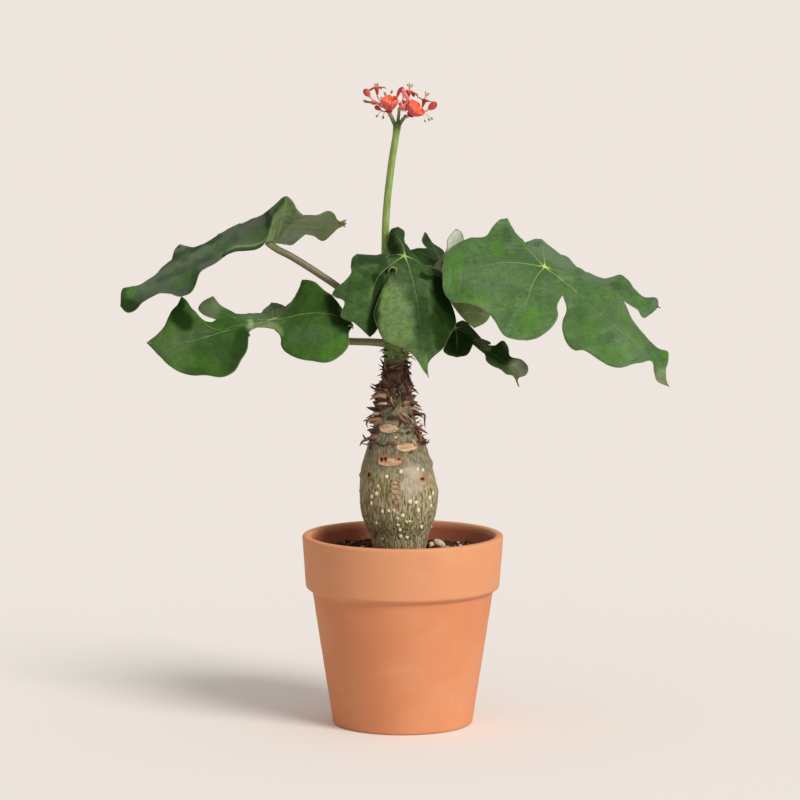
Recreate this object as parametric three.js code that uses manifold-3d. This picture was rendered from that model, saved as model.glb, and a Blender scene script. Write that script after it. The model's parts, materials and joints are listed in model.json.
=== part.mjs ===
// A jatropha with a swollen stem, six lobed leaves and one head of flowers, in a terracotta pot.
// Lengths are in millimetres. X runs to the right, Y away from the viewer and Z up.
// The origin is on the pot's axis, on the surface that the pot stands on.
import * as THREE from "three";
import { mergeVertices } from "three/addons/utils/BufferGeometryUtils.js";
import Module from "manifold-3d";

const wasm = await Module();
wasm.setup();

// Driving dimensions
const clearance = 0.3;
const potHeight = 141.5;
const potRimRadius = 75;
const potRimHeight = 39;
const potNeckRadius = 67.4;
const potBaseRadius = 52.3;
const potLipWidth = 6;
const potFloor = 8;
const drainRadius = 4;
const drainCircle = 22;
const drainCount = 3;
const soilHeight = 127;
const soilRelief = 1.6;
const trunkTop = 268;
const tipTop = 293;
const leafThickness = 0.8;
const petioleRadius = 2.75;
const peduncleRadius = 2.6;
const pedicelRadius = 0.65;
const petalThickness = 0.7;

// How finely the shapes are divided
const potSides = 40;
const soilSides = 26;
const trunkSides = 20;

// Leaves and flowers are set out as they are seen from an eye in front of the plant. A point is
// (across, up, back): across and up are where its sight line meets the upright plane through the
// pot's axis, and back is how far behind that plane the point itself lies.
const eye = new THREE.Vector3(-2, -2500, 524);

function seen([across, up, back]) {
  const onPlane = new THREE.Vector3(across, 0, up);
  return onPlane.sub(eye).multiplyScalar(1 - back / eye.y).add(eye);
}

// Tools for closed bodies

function randomFrom(seed) {
  let state = seed;
  return () => {
    state = (state * 1664525 + 1013904223) % 4294967296;
    return state / 4294967296;
  };
}

function closedGeometry(points, triangles) {
  const cross = new THREE.Vector3();
  let volume = 0;
  for (const [a, b, c] of triangles) {
    volume += points[a].dot(cross.crossVectors(points[b], points[c]));
  }
  const outward = volume > 0 ? triangles : triangles.map(([a, b, c]) => [a, c, b]);
  const geometry = new THREE.BufferGeometry();
  const numbers = points.flatMap((point) => point.toArray());
  geometry.setAttribute("position", new THREE.Float32BufferAttribute(numbers, 3));
  geometry.setIndex(outward.flat());
  geometry.computeVertexNormals();
  return geometry;
}

function solidOf(geometry) {
  const bare = geometry.clone();
  bare.deleteAttribute("normal");
  bare.deleteAttribute("uv");
  const merged = mergeVertices(bare, 1e-4);
  const vertProperties = new Float32Array(merged.attributes.position.array);
  const triVerts = new Uint32Array(merged.index.array);
  return new wasm.Manifold(new wasm.Mesh({ numProp: 3, vertProperties, triVerts }));
}

function geometryOf(solid) {
  const mesh = solid.getMesh();
  const geometry = new THREE.BufferGeometry();
  geometry.setAttribute("position", new THREE.BufferAttribute(mesh.vertProperties, 3));
  geometry.setIndex(new THREE.BufferAttribute(mesh.triVerts, 1));
  geometry.computeVertexNormals();
  return geometry;
}

function joined(geometries) {
  return geometries.map(solidOf).reduce((whole, solid) => whole.add(solid));
}

function middleOf(points) {
  const sum = new THREE.Vector3();
  points.forEach((point) => sum.add(point));
  return sum.divideScalar(points.length);
}

// A body through rings of equally many points, closed by a fan to a point at each end.
function loft(rings, start = middleOf(rings[0]), end = middleOf(rings.at(-1))) {
  const sides = rings[0].length;
  const points = [...rings.flat(), start, end];
  const startIndex = points.length - 2;
  const endIndex = points.length - 1;
  const lastRing = (rings.length - 1) * sides;
  const triangles = [];
  for (let side = 0; side < sides; side++) {
    const next = (side + 1) % sides;
    triangles.push([startIndex, next, side]);
    triangles.push([endIndex, lastRing + side, lastRing + next]);
    for (let base = 0; base < lastRing; base += sides) {
      triangles.push([base + side, base + next, base + sides + next]);
      triangles.push([base + side, base + sides + next, base + sides + side]);
    }
  }
  return closedGeometry(points, triangles);
}

// A ring of points about a centre, in the plane square to an axis.
function ringAbout(centre, axis, radius, sides, turn = 0) {
  const toX = Math.abs(axis.z) > 0.9 ? new THREE.Vector3(1, 0, 0) : new THREE.Vector3(0, 0, 1);
  const first = toX.clone().addScaledVector(axis, -toX.dot(axis)).normalize();
  const second = new THREE.Vector3().crossVectors(axis, first);
  return Array.from({ length: sides }, (_, side) => {
    const angle = turn + (2 * Math.PI * side) / sides;
    return centre.clone()
      .addScaledVector(first, radius * Math.cos(angle))
      .addScaledVector(second, radius * Math.sin(angle));
  });
}

// A straight tapered rod through [distance, radius] steps along an axis from a root.
function rod(root, axis, steps, sides) {
  const rings = steps.map(([distance, radius]) =>
    ringAbout(root.clone().addScaledVector(axis, distance), axis, radius, sides));
  return loft(rings);
}

function curveThrough(points) {
  return new THREE.CatmullRomCurve3(points, false, "centripetal");
}

function tubeAlong(points, radius, sides, steps) {
  const section = new THREE.Shape();
  for (let side = 0; side < sides; side++) {
    const angle = (2 * Math.PI * side) / sides;
    const place = [radius * Math.cos(angle), radius * Math.sin(angle)];
    if (side === 0) section.moveTo(...place);
    else section.lineTo(...place);
  }
  section.closePath();
  return new THREE.ExtrudeGeometry(section, { extrudePath: curveThrough(points), steps });
}

function lathed(profile, sides) {
  const corners = profile.map(([radius, height]) => new THREE.Vector2(radius, height));
  const geometry = new THREE.LatheGeometry(corners, sides);
  return geometry.rotateX(Math.PI / 2);
}

// Terracotta pot

const potInnerFloorRadius = potBaseRadius - potLipWidth;
const potInnerLipRadius = potRimRadius - potLipWidth;

function potInnerRadius(height) {
  const share = (height - potFloor) / (potHeight - potFloor);
  return potInnerFloorRadius + share * (potInnerLipRadius - potInnerFloorRadius);
}

function makePot() {
  const rimFoot = potHeight - potRimHeight;
  const rimTaper = 2.9;
  const edge = 1.5;
  const profile = [
    [0, 0],
    [potBaseRadius - edge, 0],
    [potBaseRadius, edge],
    [potNeckRadius, rimFoot - edge / 2],
    [potRimRadius - rimTaper - edge, rimFoot],
    [potRimRadius - rimTaper, rimFoot + edge],
    [potRimRadius, potHeight - 2 * edge],
    [potRimRadius - 0.6 * edge, potHeight - 0.4 * edge],
    [potRimRadius - 1.6 * edge, potHeight],
    [potInnerLipRadius + edge, potHeight],
    [potInnerRadius(potHeight - edge), potHeight - edge],
    [potInnerRadius(potFloor + edge), potFloor + edge],
    [potInnerFloorRadius - edge, potFloor],
    [0, potFloor],
  ];
  let pot = solidOf(lathed(profile, potSides));
  for (let hole = 0; hole < drainCount; hole++) {
    const angle = (2 * Math.PI * (hole + 0.25)) / drainCount;
    const place = [drainCircle * Math.cos(angle), drainCircle * Math.sin(angle), potFloor / 2];
    const cutter = new THREE.CylinderGeometry(drainRadius, drainRadius, 2 * potFloor, 12);
    pot = pot.subtract(solidOf(cutter.rotateX(Math.PI / 2).translate(...place)));
  }
  return geometryOf(pot);
}

// Trunk: [height, middle, radius], from the root's end up to the green tip
const trunkForm = [
  [88, -1, 4],
  [100, -1, 9.5],
  [114, -1.5, 14.5],
  [127, -2, 18.2],
  [134, -2, 20.2],
  [141, -2, 21.6],
  [149, -2.7, 25],
  [157, -3, 27.4],
  [166, -3, 28.6],
  [175, -3.4, 28.8],
  [184, -3.9, 27.9],
  [192, -4.3, 26.4],
  [200, -4.4, 24],
  [208, -4.5, 21.6],
  [216, -5.1, 18.8],
  [225, -5.4, 15.7],
  [234, -6, 14.9],
  [242, -6.6, 14],
  [250, -6.7, 13],
  [255, -5.9, 10.6],
  [262, -5.5, 9.6],
  [trunkTop, -5.2, 9.3],
];

function trunkRing(height, middle, radius, sides) {
  const ribs = height > 127 && height < 200 ? 0.45 : 0;
  return Array.from({ length: sides }, (_, side) => {
    const angle = (2 * Math.PI * side) / sides;
    const wave = Math.sin(5 * angle + height / 9) + Math.sin(3 * angle - height / 13);
    const reach = radius + ribs * wave;
    return new THREE.Vector3(middle + reach * Math.cos(angle), reach * Math.sin(angle), height);
  });
}

function trunkSurface(height) {
  const above = trunkForm.findIndex(([level]) => level >= height);
  const [h0, m0, r0] = trunkForm[above - 1];
  const [h1, m1, r1] = trunkForm[above];
  const share = (height - h0) / (h1 - h0);
  return [m0 + share * (m1 - m0), r0 + share * (r1 - r0)];
}

function trunkBody(extra) {
  return loft(trunkForm.map(([height, middle, radius]) =>
    trunkRing(height, middle, radius + extra, trunkSides)));
}

// The woody stubs that old leaf stalks leave on the neck: bent three-sided spikes, sunk in.
function stipule(height, angle, length, width, lift) {
  const [middle, radius] = trunkSurface(height);
  const out = new THREE.Vector3(Math.cos(angle), Math.sin(angle), lift).normalize();
  const root = new THREE.Vector3(middle, 0, height)
    .add(new THREE.Vector3(Math.cos(angle), Math.sin(angle), 0).multiplyScalar(radius - 2.2));
  const bend = root.clone().addScaledVector(out, 2.2 + 0.45 * length);
  const tip = root.clone().addScaledVector(out, 2.2 + length);
  tip.z += 0.18 * length;
  const rings = [ringAbout(root, out, width, 3, 0.5), ringAbout(bend, out, 0.62 * width, 3, 0.5)];
  return loft(rings, middleOf(rings[0]), tip);
}

function makeTrunk() {
  const random = randomFrom(11);
  const goldenAngle = Math.PI * (3 - Math.sqrt(5));
  const spikes = [];
  const spikeCount = 54;
  const lowest = 207;
  const highest = 264;
  for (let spike = 0; spike < spikeCount; spike++) {
    const height = lowest + (highest - lowest) * ((spike + 0.5) / spikeCount) ** 0.85;
    const angle = goldenAngle * spike + 0.5 * random();
    const length = 4.2 + 4.4 * random();
    spikes.push(stipule(height, angle, length, 1.2 + 0.7 * random(), 0.8 * random() - 0.1));
  }
  return geometryOf(joined([trunkBody(0), ...spikes]));
}

// Green growing tip, which the leaf stalks and the flower stalk spring from
const tipMiddle = -4.9;
const tipForm = [[trunkTop, 8.7], [272, 8.5], [276, 9.2], [281, 9.3], [286, 8.4], [290, 6.3], [tipTop, 3]];

function tipBody(extra) {
  return loft(tipForm.map(([height, radius], level) => {
    const lift = level === 0 ? clearance - extra : level === tipForm.length - 1 ? extra : 0;
    const centre = new THREE.Vector3(tipMiddle, 0, height + lift);
    return ringAbout(centre, new THREE.Vector3(0, 0, 1), radius + extra, 14);
  }));
}

// Soil with its lumps, hollowed where the trunk stands and where the pebbles lie
const pebbles = [
  { place: [21, 9], size: [4.6, 3.6, 2.6], turn: 0.4 },
  { place: [29, 14], size: [3.6, 4.4, 2.4], turn: 1.3 },
  { place: [27, 2], size: [3.2, 2.6, 2], turn: 2.2 },
  { place: [36, 8], size: [2.6, 3.4, 2], turn: 0.2 },
  { place: [-30, 16], size: [3.4, 2.8, 2.2], turn: 1.8 },
];

function soilTop(x, y) {
  const waves = Math.sin(x / 7 + y / 11) * Math.cos(y / 6 - x / 15) + 0.6 * Math.sin(x / 4 - y / 3.4);
  return soilHeight + soilRelief * 0.6 * waves;
}

function pebbleBody({ place: [x, y], size, turn }, extra) {
  const stone = new THREE.IcosahedronGeometry(1, 1);
  stone.scale(...size.map((radius) => radius + extra));
  return stone.rotateZ(turn).translate(x, y, soilTop(x, y) + 0.3 * size[2]);
}

function makeSoil() {
  const outer = (height) => potInnerRadius(height) - clearance;
  const ringAt = (radius, heightAt) => Array.from({ length: soilSides }, (_, side) => {
    const angle = (2 * Math.PI * side) / soilSides;
    const x = radius * Math.cos(angle);
    const y = radius * Math.sin(angle);
    return new THREE.Vector3(x, y, heightAt(x, y));
  });
  const bottom = potFloor + clearance;
  const bottomEdge = bottom + 1.5;
  const rings = [
    ringAt(outer(bottom) - 2, () => bottom),
    ringAt(outer(bottomEdge), () => bottomEdge),
    ringAt(outer(soilHeight - 2 * soilRelief), () => soilHeight - 2 * soilRelief),
  ];
  const surfaceRings = 5;
  for (let ring = 0; ring < surfaceRings; ring++) {
    const share = 1 - ring / surfaceRings;
    rings.push(ringAt(share * (outer(soilHeight - 2 * soilRelief) - 0.4), soilTop));
  }
  let soil = solidOf(loft(rings)).subtract(solidOf(trunkBody(clearance)));
  for (const pebble of pebbles) {
    soil = soil.subtract(solidOf(pebbleBody(pebble, clearance)));
  }
  return geometryOf(soil);
}

// Leaves. Each blade spreads from its hub, where the stalk meets its underside. A lobe has a rib
// from the hub to its tip and a margin on either side of the tip; lobes run anticlockwise as seen
// from above, and notches[i] is the way from the hub to the notch that follows lobe i. The steps
// are how finely a lobe is divided along its rib and from the rib to its margin.
const leaves = {
  right: {
    steps: [12, 2],
    hub: [104.5, 340.6, -25],
    lobes: [
      {
        before: [[41.4, 358.5, -22], [34, 353, -34], [30.4, 346, -42]],
        rib: [[77.6, 343.8, -31], [55, 340, -41], [29.6, 336, -50]],
        after: [
          [29.7, 324.4, -53], [32.9, 318, -56], [37.7, 314.2, -58], [44.6, 314.4, -60], [55, 311.4, -63],
        ],
      },
      {
        before: [[68, 301, -69], [71.2, 295, -71], [75.4, 289.7, -72], [84, 286.6, -73]],
        rib: [[97, 330, -38], [91, 311, -57], [91, 297, -67], [92, 286.2, -72]],
        after: [
          [100, 288.4, -71], [107, 293, -68], [112.5, 299, -63], [114.8, 304.6, -59], [114.2, 312, -54],
        ],
      },
      {
        before: [
          [121, 309, -52], [118.2, 301, -57], [118, 293, -62], [121.5, 283.6, -67], [127, 279, -69],
          [134, 278.7, -70], [145, 272, -72], [153, 267.3, -72], [161, 266, -71], [173, 269.4, -66],
          [184, 270.3, -60], [186, 262, -57], [188.4, 255.8, -54],
        ],
        rib: [[125, 325, -38], [145, 306, -53], [168, 287, -60], [186, 274, -56], [198, 251.3, -50]],
        after: [
          [194.6, 261, -48], [196.6, 271, -44], [196.4, 278.4, -41], [190, 280.8, -40],
          [182, 286.6, -37], [173.3, 296.6, -33], [166, 310, -29],
        ],
      },
      {
        before: [[167, 312.6, -22], [173.8, 308.2, -19], [178, 303, -19], [183.4, 305.9, -14]],
        rib: [[126.5, 334.4, -22], [140, 331, -15], [160, 325, -8], [189, 311, -6]],
        after: [
          [187.6, 317, -3], [178, 318.2, 0], [171, 324, 4], [166, 331, 8], [161, 335, 11],
          [150, 332, 12], [139, 335.2, 9],
        ],
      },
      {
        before: [[123, 345.6, 8], [114, 352, 18]],
        rib: [[104, 350, 2], [102, 361, 28]],
        after: [[96.7, 361, 26], [91.4, 359.5, 18]],
      },
      {
        before: [[83, 362, 4], [79.6, 369, 2]],
        rib: [[94, 352, -14], [84, 364, -6], [76.7, 376.6, 0]],
        after: [[71, 375, -2], [66, 369.7, -5], [61, 363.4, -9]],
      },
    ],
    notches: [
      [[86, 322, -49], [64.3, 305.7, -66]],
      [[118, 319.6, -47]],
      [[140, 326, -30], [161, 319.5, -27]],
      [[128.6, 339.8, -2]],
      [[88, 357.4, 9]],
      [[70, 352.6, -19], [50, 362.4, -13]],
    ],
  },
  front: {
    steps: [11, 2],
    hub: [1.5, 348.5, -40],
    lobes: [
      {
        before: [[-38.2, 336, -40], [-43, 330, -43], [-51, 323, -45], [-52, 320, -46], [-43, 314.7, -49],
          [-45.8, 304, -51], [-35.8, 299, -52], [-28.6, 292.7, -52]],
        rib: [[-8, 342, -45], [-17, 335, -50], [-22, 323, -52], [-24, 308, -53], [-24.3, 288.4, -52]],
        after: [[-20, 293, -49], [-17, 303, -46], [-14, 318, -44]],
      },
      {
        before: [[-14, 327, -53], [-18, 317, -56], [-21.4, 305.4, -58], [-18.8, 296, -60], [-14, 286.4, -61],
          [-6, 282.6, -62], [3.4, 279, -63], [10.8, 271, -63], [15, 264, -63]],
        rib: [[5.8, 336.6, -50], [9.4, 323, -58], [11.5, 310.7, -62], [14.4, 292, -65], [19.8, 258.2, -62]],
        after: [[19.2, 267, -60], [23, 274, -58], [30.5, 281, -54], [35.2, 290.6, -50], [39, 298.6, -46],
          [37.6, 309, -43], [33.4, 319, -39]],
      },
      {
        before: [[34, 322, -31]],
        rib: [[12, 343, -40], [22, 336.4, -36], [39, 327, -30]],
        after: [[35, 334, -21], [26, 338.4, -18], [18.7, 340.8, -19]],
      },
      {
        before: [[4.4, 354, -14], [1.4, 361, -10], [1.2, 367, -8]],
        rib: [[0, 356, -25], [-4, 364, -14], [-3, 371, -7]],
        after: [[-8.6, 368.4, -7], [-10.6, 362, -8], [-11.6, 356, -11]],
      },
      {
        before: [[-17, 349.6, -18], [-27, 350, -15]],
        rib: [[-12, 348, -34], [-25, 347.6, -27], [-34, 350.4, -21]],
        after: [[-37.2, 346.6, -27]],
      },
    ],
    notches: [
      [[-7.4, 337, -45]],
      [[16, 336, -43], [29, 326.6, -35]],
      [[12, 345.6, -22]],
      [[-10.6, 350.8, -18]],
      [[-20, 343.6, -39], [-38.4, 341.4, -34]],
    ],
  },
  left_upper: {
    steps: [12, 2],
    hub: [-94.5, 361, -4],
    lobes: [
      {
        before: [[-178, 339.6, 16], [-186, 332.2, 10], [-193, 327.6, 5], [-201, 326, -1], [-207, 324.4, -9]],
        rib: [[-115, 361.4, -6], [-140, 352, -9], [-165, 338, -12], [-190, 322, -14], [-208.6, 311.6, -17]],
        after: [
          [-204, 307, -22], [-197, 309.4, -26], [-191, 315.4, -30], [-180, 320.6, -37], [-171, 321.4, -44],
          [-163, 319, -50], [-156, 321.4, -53], [-152, 329, -55], [-149, 336.6, -56], [-136, 343.8, -55],
          [-126, 351.6, -53], [-114, 355.4, -50],
        ],
      },
      {
        before: [[-98.6, 363.4, -46], [-96.4, 371, -45], [-94.6, 379.6, -44], [-88.8, 386, -41]],
        rib: [[-92, 367, -18], [-88.6, 377, -30], [-85.4, 392.8, -38]],
        after: [[-81, 389, -36], [-77.4, 382.6, -34]],
      },
      {
        before: [[-64, 378.8, -31], [-56, 382, -26], [-50.6, 380, -20], [-47.6, 375, -14]],
        rib: [[-86, 368, -7], [-75, 371.5, -7], [-60, 373, -6], [-41.4, 372, -6]],
        after: [[-47, 368.6, 1], [-52.4, 364.4, 8], [-58.6, 360, 16], [-65, 362.8, 24]],
      },
      {
        before: [[-78, 359.4, 36], [-84.6, 356.4, 47]],
        rib: [[-95, 359.6, 25], [-94, 359, 59]],
        after: [[-104, 367, 60], [-113, 372.6, 57]],
      },
      {
        before: [[-129, 367.4, 52], [-142, 360.6, 51], [-155, 355.4, 46]],
        rib: [[-116, 367, 16], [-142, 360.6, 28], [-164, 357.2, 40]],
        after: [[-168, 353.4, 34]],
      },
    ],
    notches: [
      [[-104.6, 357.4, -47]],
      [[-73, 378.4, -33]],
      [[-71.6, 364.2, 28]],
      [[-120, 373, 51]],
      [[-132, 357.4, 8], [-170.6, 345.4, 22]],
    ],
  },
  left_lower: {
    steps: [12, 2],
    hub: [-96, 301.7, -10],
    lobes: [
      {
        before: [[-176, 297, -20], [-181.6, 290.6, -21]],
        rib: [[-115, 297.4, -19], [-137, 291.2, -27], [-152.3, 286.4, -30], [-175, 283.4, -26], [-189, 284.4, -19]],
        after: [
          [-183.6, 279.3, -21], [-174.6, 269, -31], [-165, 262.5, -37], [-155, 260, -42], [-146, 260.3, -45],
          [-134, 258.6, -49], [-125, 262.2, -48], [-119.4, 271, -43], [-115, 278, -39], [-114.6, 288, -31],
        ],
      },
      {
        before: [
          [-90.4, 286, -36], [-87.4, 278.6, -43], [-78, 273, -51], [-67, 271, -56], [-57, 269.4, -58],
          [-47, 274, -57], [-40, 282, -53], [-39.6, 292, -48],
        ],
        rib: [[-84.5, 303.8, -19], [-65, 306.4, -32], [-50, 305, -40], [-36.4, 297, -43]],
        after: [[-40.5, 304, -37], [-46, 312, -31]],
      },
      {
        before: [[-58, 323.4, -22], [-64.6, 329.4, -15], [-70, 331, -10]],
        rib: [[-85, 311, -9], [-77, 323, -8], [-74.8, 331.3, -6]],
        after: [[-76.4, 323.4, -3], [-80.6, 316.4, -1]],
      },
      {
        before: [[-90.6, 313.2, 24]],
        rib: [[-96, 306.4, 16], [-96.4, 314, 44]],
        after: [[-101.6, 309.4, 42]],
      },
      {
        before: [[-112, 305.8, 30], [-119, 304.8, 23], [-127, 308.2, 11], [-133.2, 312, 6]],
        rib: [[-112, 302, -2], [-124, 303, -2], [-137, 309, 0], [-140, 319.2, 4]],
        after: [[-147.4, 315, 2], [-151, 309.6, -3], [-147, 305.2, -7]],
      },
      {
        before: [[-141.4, 299.9, -10], [-148, 300.6, -13], [-154.6, 308.4, -12], [-159.4, 315, -11]],
        rib: [[-120, 297.6, -16], [-139, 294.4, -22], [-154, 306.6, -17], [-163.4, 318.6, -10]],
        after: [[-166, 313, -13], [-170.6, 308.2, -16]],
      },
    ],
    notches: [
      [[-108.6, 295.8, -24]],
      [[-74, 315, -18], [-52, 319.6, -27]],
      [[-86.6, 311.4, 2]],
      [[-105, 306.4, 36]],
      [[-118, 299.6, -10], [-137.6, 301.6, -8]],
      [[-148, 290.6, -27], [-173.4, 303, -19]],
    ],
  },
  right_lower: {
    steps: [10, 2],
    hub: [38.5, 295.5, -6],
    lobes: [
      {
        before: [[34, 290, -11], [31.4, 283, -17], [30, 278.4, -21], [33.4, 275.2, -24]],
        rib: [[39.4, 288, -14], [40.4, 280, -20], [40, 273.3, -25]],
        after: [[47, 275.6, -25], [50.8, 280.6, -21]],
      },
      {
        before: [[57.6, 278, -17], [60.8, 275, -19], [61.4, 271, -22], [66, 266.6, -25], [72, 264, -26],
          [77, 261, -26], [82.8, 260.4, -26]],
        rib: [[48, 291, -10], [57, 284.4, -13], [68, 275, -16], [79, 267, -20], [86.6, 251.6, -22]],
        after: [[86, 257.6, -18], [91.4, 260.6, -14], [93, 267, -10], [88, 272, -8], [79.4, 274.6, -8],
          [77.6, 281.6, -8], [74.4, 285.6, -6], [69, 282.8, -5]],
      },
      {
        before: [[65, 283.6, 6]],
        rib: [[48, 293, 8], [58, 287, 32]],
        after: [[53, 293.4, 34]],
      },
      {
        before: [[44, 300.8, 33]],
        rib: [[39, 297, 8], [36, 298, 32]],
        after: [[32.6, 296.6, 18]],
      },
    ],
    notches: [
      [[52, 283, -17]],
      [[62.6, 282.6, -6]],
      [[48.4, 299.4, 33]],
      [[35, 295.2, -5]],
    ],
  },
  back: {
    steps: [9, 1],
    hub: [30, 345, 38],
    lobes: [
      {
        before: [[12, 354.4, 31]],
        rib: [[18, 349, 31], [5, 352.8, 24]],
        after: [[7, 348, 18], [12, 343.6, 14]],
      },
      {
        before: [[31.8, 353, 9], [33.4, 361, 9]],
        rib: [[35, 350, 24], [38.4, 361, 14], [39, 368.9, 12]],
        after: [[43.6, 366, 14], [46, 357, 17]],
      },
      {
        before: [[62, 340, 34], [78, 328, 46]],
        rib: [[52, 344, 50], [74, 335, 60], [92, 322, 62]],
        after: [[88, 336, 74], [74, 345, 80]],
      },
      {
        before: [[65, 326, 92], [65, 308, 95], [61.6, 300, 94]],
        rib: [[41, 342, 58], [50, 322, 82], [53, 294.8, 92]],
        after: [[46, 301, 89], [37, 312, 86], [30, 326, 84]],
      },
      {
        before: [[10, 328, 92]],
        rib: [[14, 344, 58], [2, 337, 74], [-8, 326, 84]],
        after: [[-6, 338, 74], [8, 346, 64]],
      },
      {
        before: [[24, 356.6, 53]],
        rib: [[26, 352, 43], [21, 359, 48], [15.8, 365.8, 51]],
        after: [[14, 360, 46]],
      },
    ],
    notches: [
      [[22, 341, 14]],
      [[50, 349, 21]],
      [[60, 346, 78]],
      [[22, 338, 80]],
      [[30, 352.4, 54]],
      [[17.6, 355, 38]],
    ],
  },
};

function sampled(points, count) {
  const curve = curveThrough(points);
  return Array.from({ length: count + 1 }, (_, step) => curve.getPointAt(step / count));
}

// Samples that crowd where the outline's own points do.
function sampledByPoint(points, count) {
  const curve = curveThrough(points);
  return Array.from({ length: count + 1 }, (_, step) => curve.getPoint(step / count));
}

// The way from the hub to a lobe's tip along its edge: by the notch, then along the margin.
function edgeLine(hub, notch, margin, tip, notchStep, steps) {
  const inner = sampled([hub, ...notch], notchStep);
  const outer = sampledByPoint([notch.at(-1), ...margin, tip], steps - notchStep);
  return [...inner, ...outer.slice(1)];
}

// A point between two others on a curve that leaves each of them along the given direction.
function eased(from, to, leaving, arriving, share) {
  const chord = from.distanceTo(to);
  const s2 = share * share;
  const s3 = s2 * share;
  return new THREE.Vector3()
    .addScaledVector(from, 2 * s3 - 3 * s2 + 1)
    .addScaledVector(to, 3 * s2 - 2 * s3)
    .addScaledVector(leaving.clone().setLength(chord), s3 - 2 * s2 + share)
    .addScaledVector(arriving.clone().setLength(chord), s3 - s2);
}

function lengthOf(points) {
  return points.slice(1).reduce((sum, point, index) => sum + point.distanceTo(points[index]), 0);
}

// The blade's middle surface: points, and triangles that are counted the same way round.
function bladeSheet(leaf) {
  const [along, across] = leaf.steps;
  const hub = seen(leaf.hub);
  const count = leaf.lobes.length;
  const lobes = leaf.lobes.map((lobe) => ({
    rib: lobe.rib.map(seen),
    before: lobe.before.map(seen),
    after: lobe.after.map(seen),
  }));
  const notches = leaf.notches.map((notch) => notch.map(seen));
  const tips = lobes.map((lobe) => lobe.rib.at(-1));
  const notchSteps = notches.map((notch, index) => {
    const next = (index + 1) % count;
    const inner = lengthOf([hub, ...notch]);
    const left = lengthOf([notch.at(-1), ...lobes[index].after.toReversed(), tips[index]]);
    const right = lengthOf([notch.at(-1), ...lobes[next].before, tips[next]]);
    const share = inner / (inner + (left + right) / 2);
    return Math.min(along - 2, Math.max(1, Math.round(along * share)));
  });
  const ribs = lobes.map((lobe) => sampled([hub, ...lobe.rib], along));
  const edges = lobes.map((lobe, index) => {
    const last = (index + count - 1) % count;
    return [
      edgeLine(hub, notches[last], lobe.before, tips[index], notchSteps[last], along),
      edgeLine(hub, notches[index], lobe.after.toReversed(), tips[index], notchSteps[index], along),
    ];
  });

  const points = [];
  const places = new Map();
  const indexOf = (name, makePoint) => {
    if (!places.has(name)) places.set(name, points.push(makePoint()) - 1);
    return places.get(name);
  };
  const pointAt = (lobe, half, i, j) => {
    const side = half === 0 ? -1 : 1;
    const neighbour = (lobe + side + count) % count;
    const notch = half === 0 ? neighbour : lobe;
    const reach = notchSteps[notch];
    if (i === 0) return indexOf("hub", () => hub.clone());
    if (i === along) return indexOf(`tip ${lobe}`, () => tips[lobe].clone());
    if (j === 0) return indexOf(`rib ${lobe} ${i}`, () => ribs[lobe][i].clone());
    if (j === across && i <= reach) {
      return indexOf(`notch ${notch} ${i}`, () => edges[lobe][half][i].clone());
    }
    return indexOf(`half ${lobe} ${half} ${i} ${j}`, () => {
      const rib = ribs[lobe][i];
      const edge = edges[lobe][half][i];
      if (j === across) return edge.clone();
      const leaving = edge.clone().sub(edges[lobe][1 - half][i]);
      const arriving = edge.clone().sub(rib).normalize();
      const closeness = Math.min(1, Math.max(0, (reach + 1 - i) / (0.4 * reach + 1)));
      const onward = ribs[neighbour][i].clone().sub(rib).normalize();
      arriving.lerp(onward, closeness);
      return eased(rib, edge, leaving, arriving, j / across);
    });
  };

  const triangles = [];
  for (let lobe = 0; lobe < count; lobe++) {
    for (let half = 0; half < 2; half++) {
      for (let i = 0; i < along; i++) {
        for (let j = 0; j < across; j++) {
          const near = pointAt(lobe, half, i, j);
          const nearOut = pointAt(lobe, half, i, j + 1);
          const farOut = pointAt(lobe, half, i + 1, j + 1);
          const far = pointAt(lobe, half, i + 1, j);
          const faces = [[near, far, farOut], [near, farOut, nearOut]];
          for (const [a, b, c] of faces) {
            if (a === b || b === c || c === a) continue;
            triangles.push(half === 0 ? [a, c, b] : [a, b, c]);
          }
        }
      }
    }
  }
  return { points, triangles };
}

// The space over a stalk's flat end, square to the blade at its hub.
function spaceOverStalk(hub, normal) {
  const depth = 12;
  const standOff = leafThickness / 2 + 2 * clearance;
  const space = new THREE.CylinderGeometry(9, 9, depth, 12);
  space.applyQuaternion(new THREE.Quaternion().setFromUnitVectors(new THREE.Vector3(0, 1, 0), normal));
  const middle = hub.clone().addScaledVector(normal, depth / 2 - standOff);
  return solidOf(space.translate(...middle));
}

// The stalk meets the blade's underside aslant, and ends just clear of it and of the green tip.
function makePetiole(way, hub, normal, bladeHollow, tipHollow) {
  const bendLength = 11;
  const points = way.map(seen);
  const arriving = hub.clone().sub(points.at(-1)).normalize();
  const bend = hub.clone().addScaledVector(arriving.multiplyScalar(2).add(normal).normalize(), -bendLength);
  const stalk = solidOf(tubeAlong([...points, bend, hub], petioleRadius, 8, 12));
  const cut = stalk.subtract(tipHollow).subtract(bladeHollow).subtract(spaceOverStalk(hub, normal));
  const pieces = cut.decompose();
  return pieces.reduce((largest, piece) => (piece.volume() > largest.volume() ? piece : largest));
}

function sheetNormals({ points, triangles }) {
  const normals = points.map(() => new THREE.Vector3());
  const first = new THREE.Vector3();
  const second = new THREE.Vector3();
  for (const [a, b, c] of triangles) {
    first.subVectors(points[b], points[a]);
    second.subVectors(points[c], points[a]);
    const facing = first.cross(second);
    [a, b, c].forEach((corner) => normals[corner].add(facing));
  }
  return normals.map((normal) => normal.normalize());
}

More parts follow.
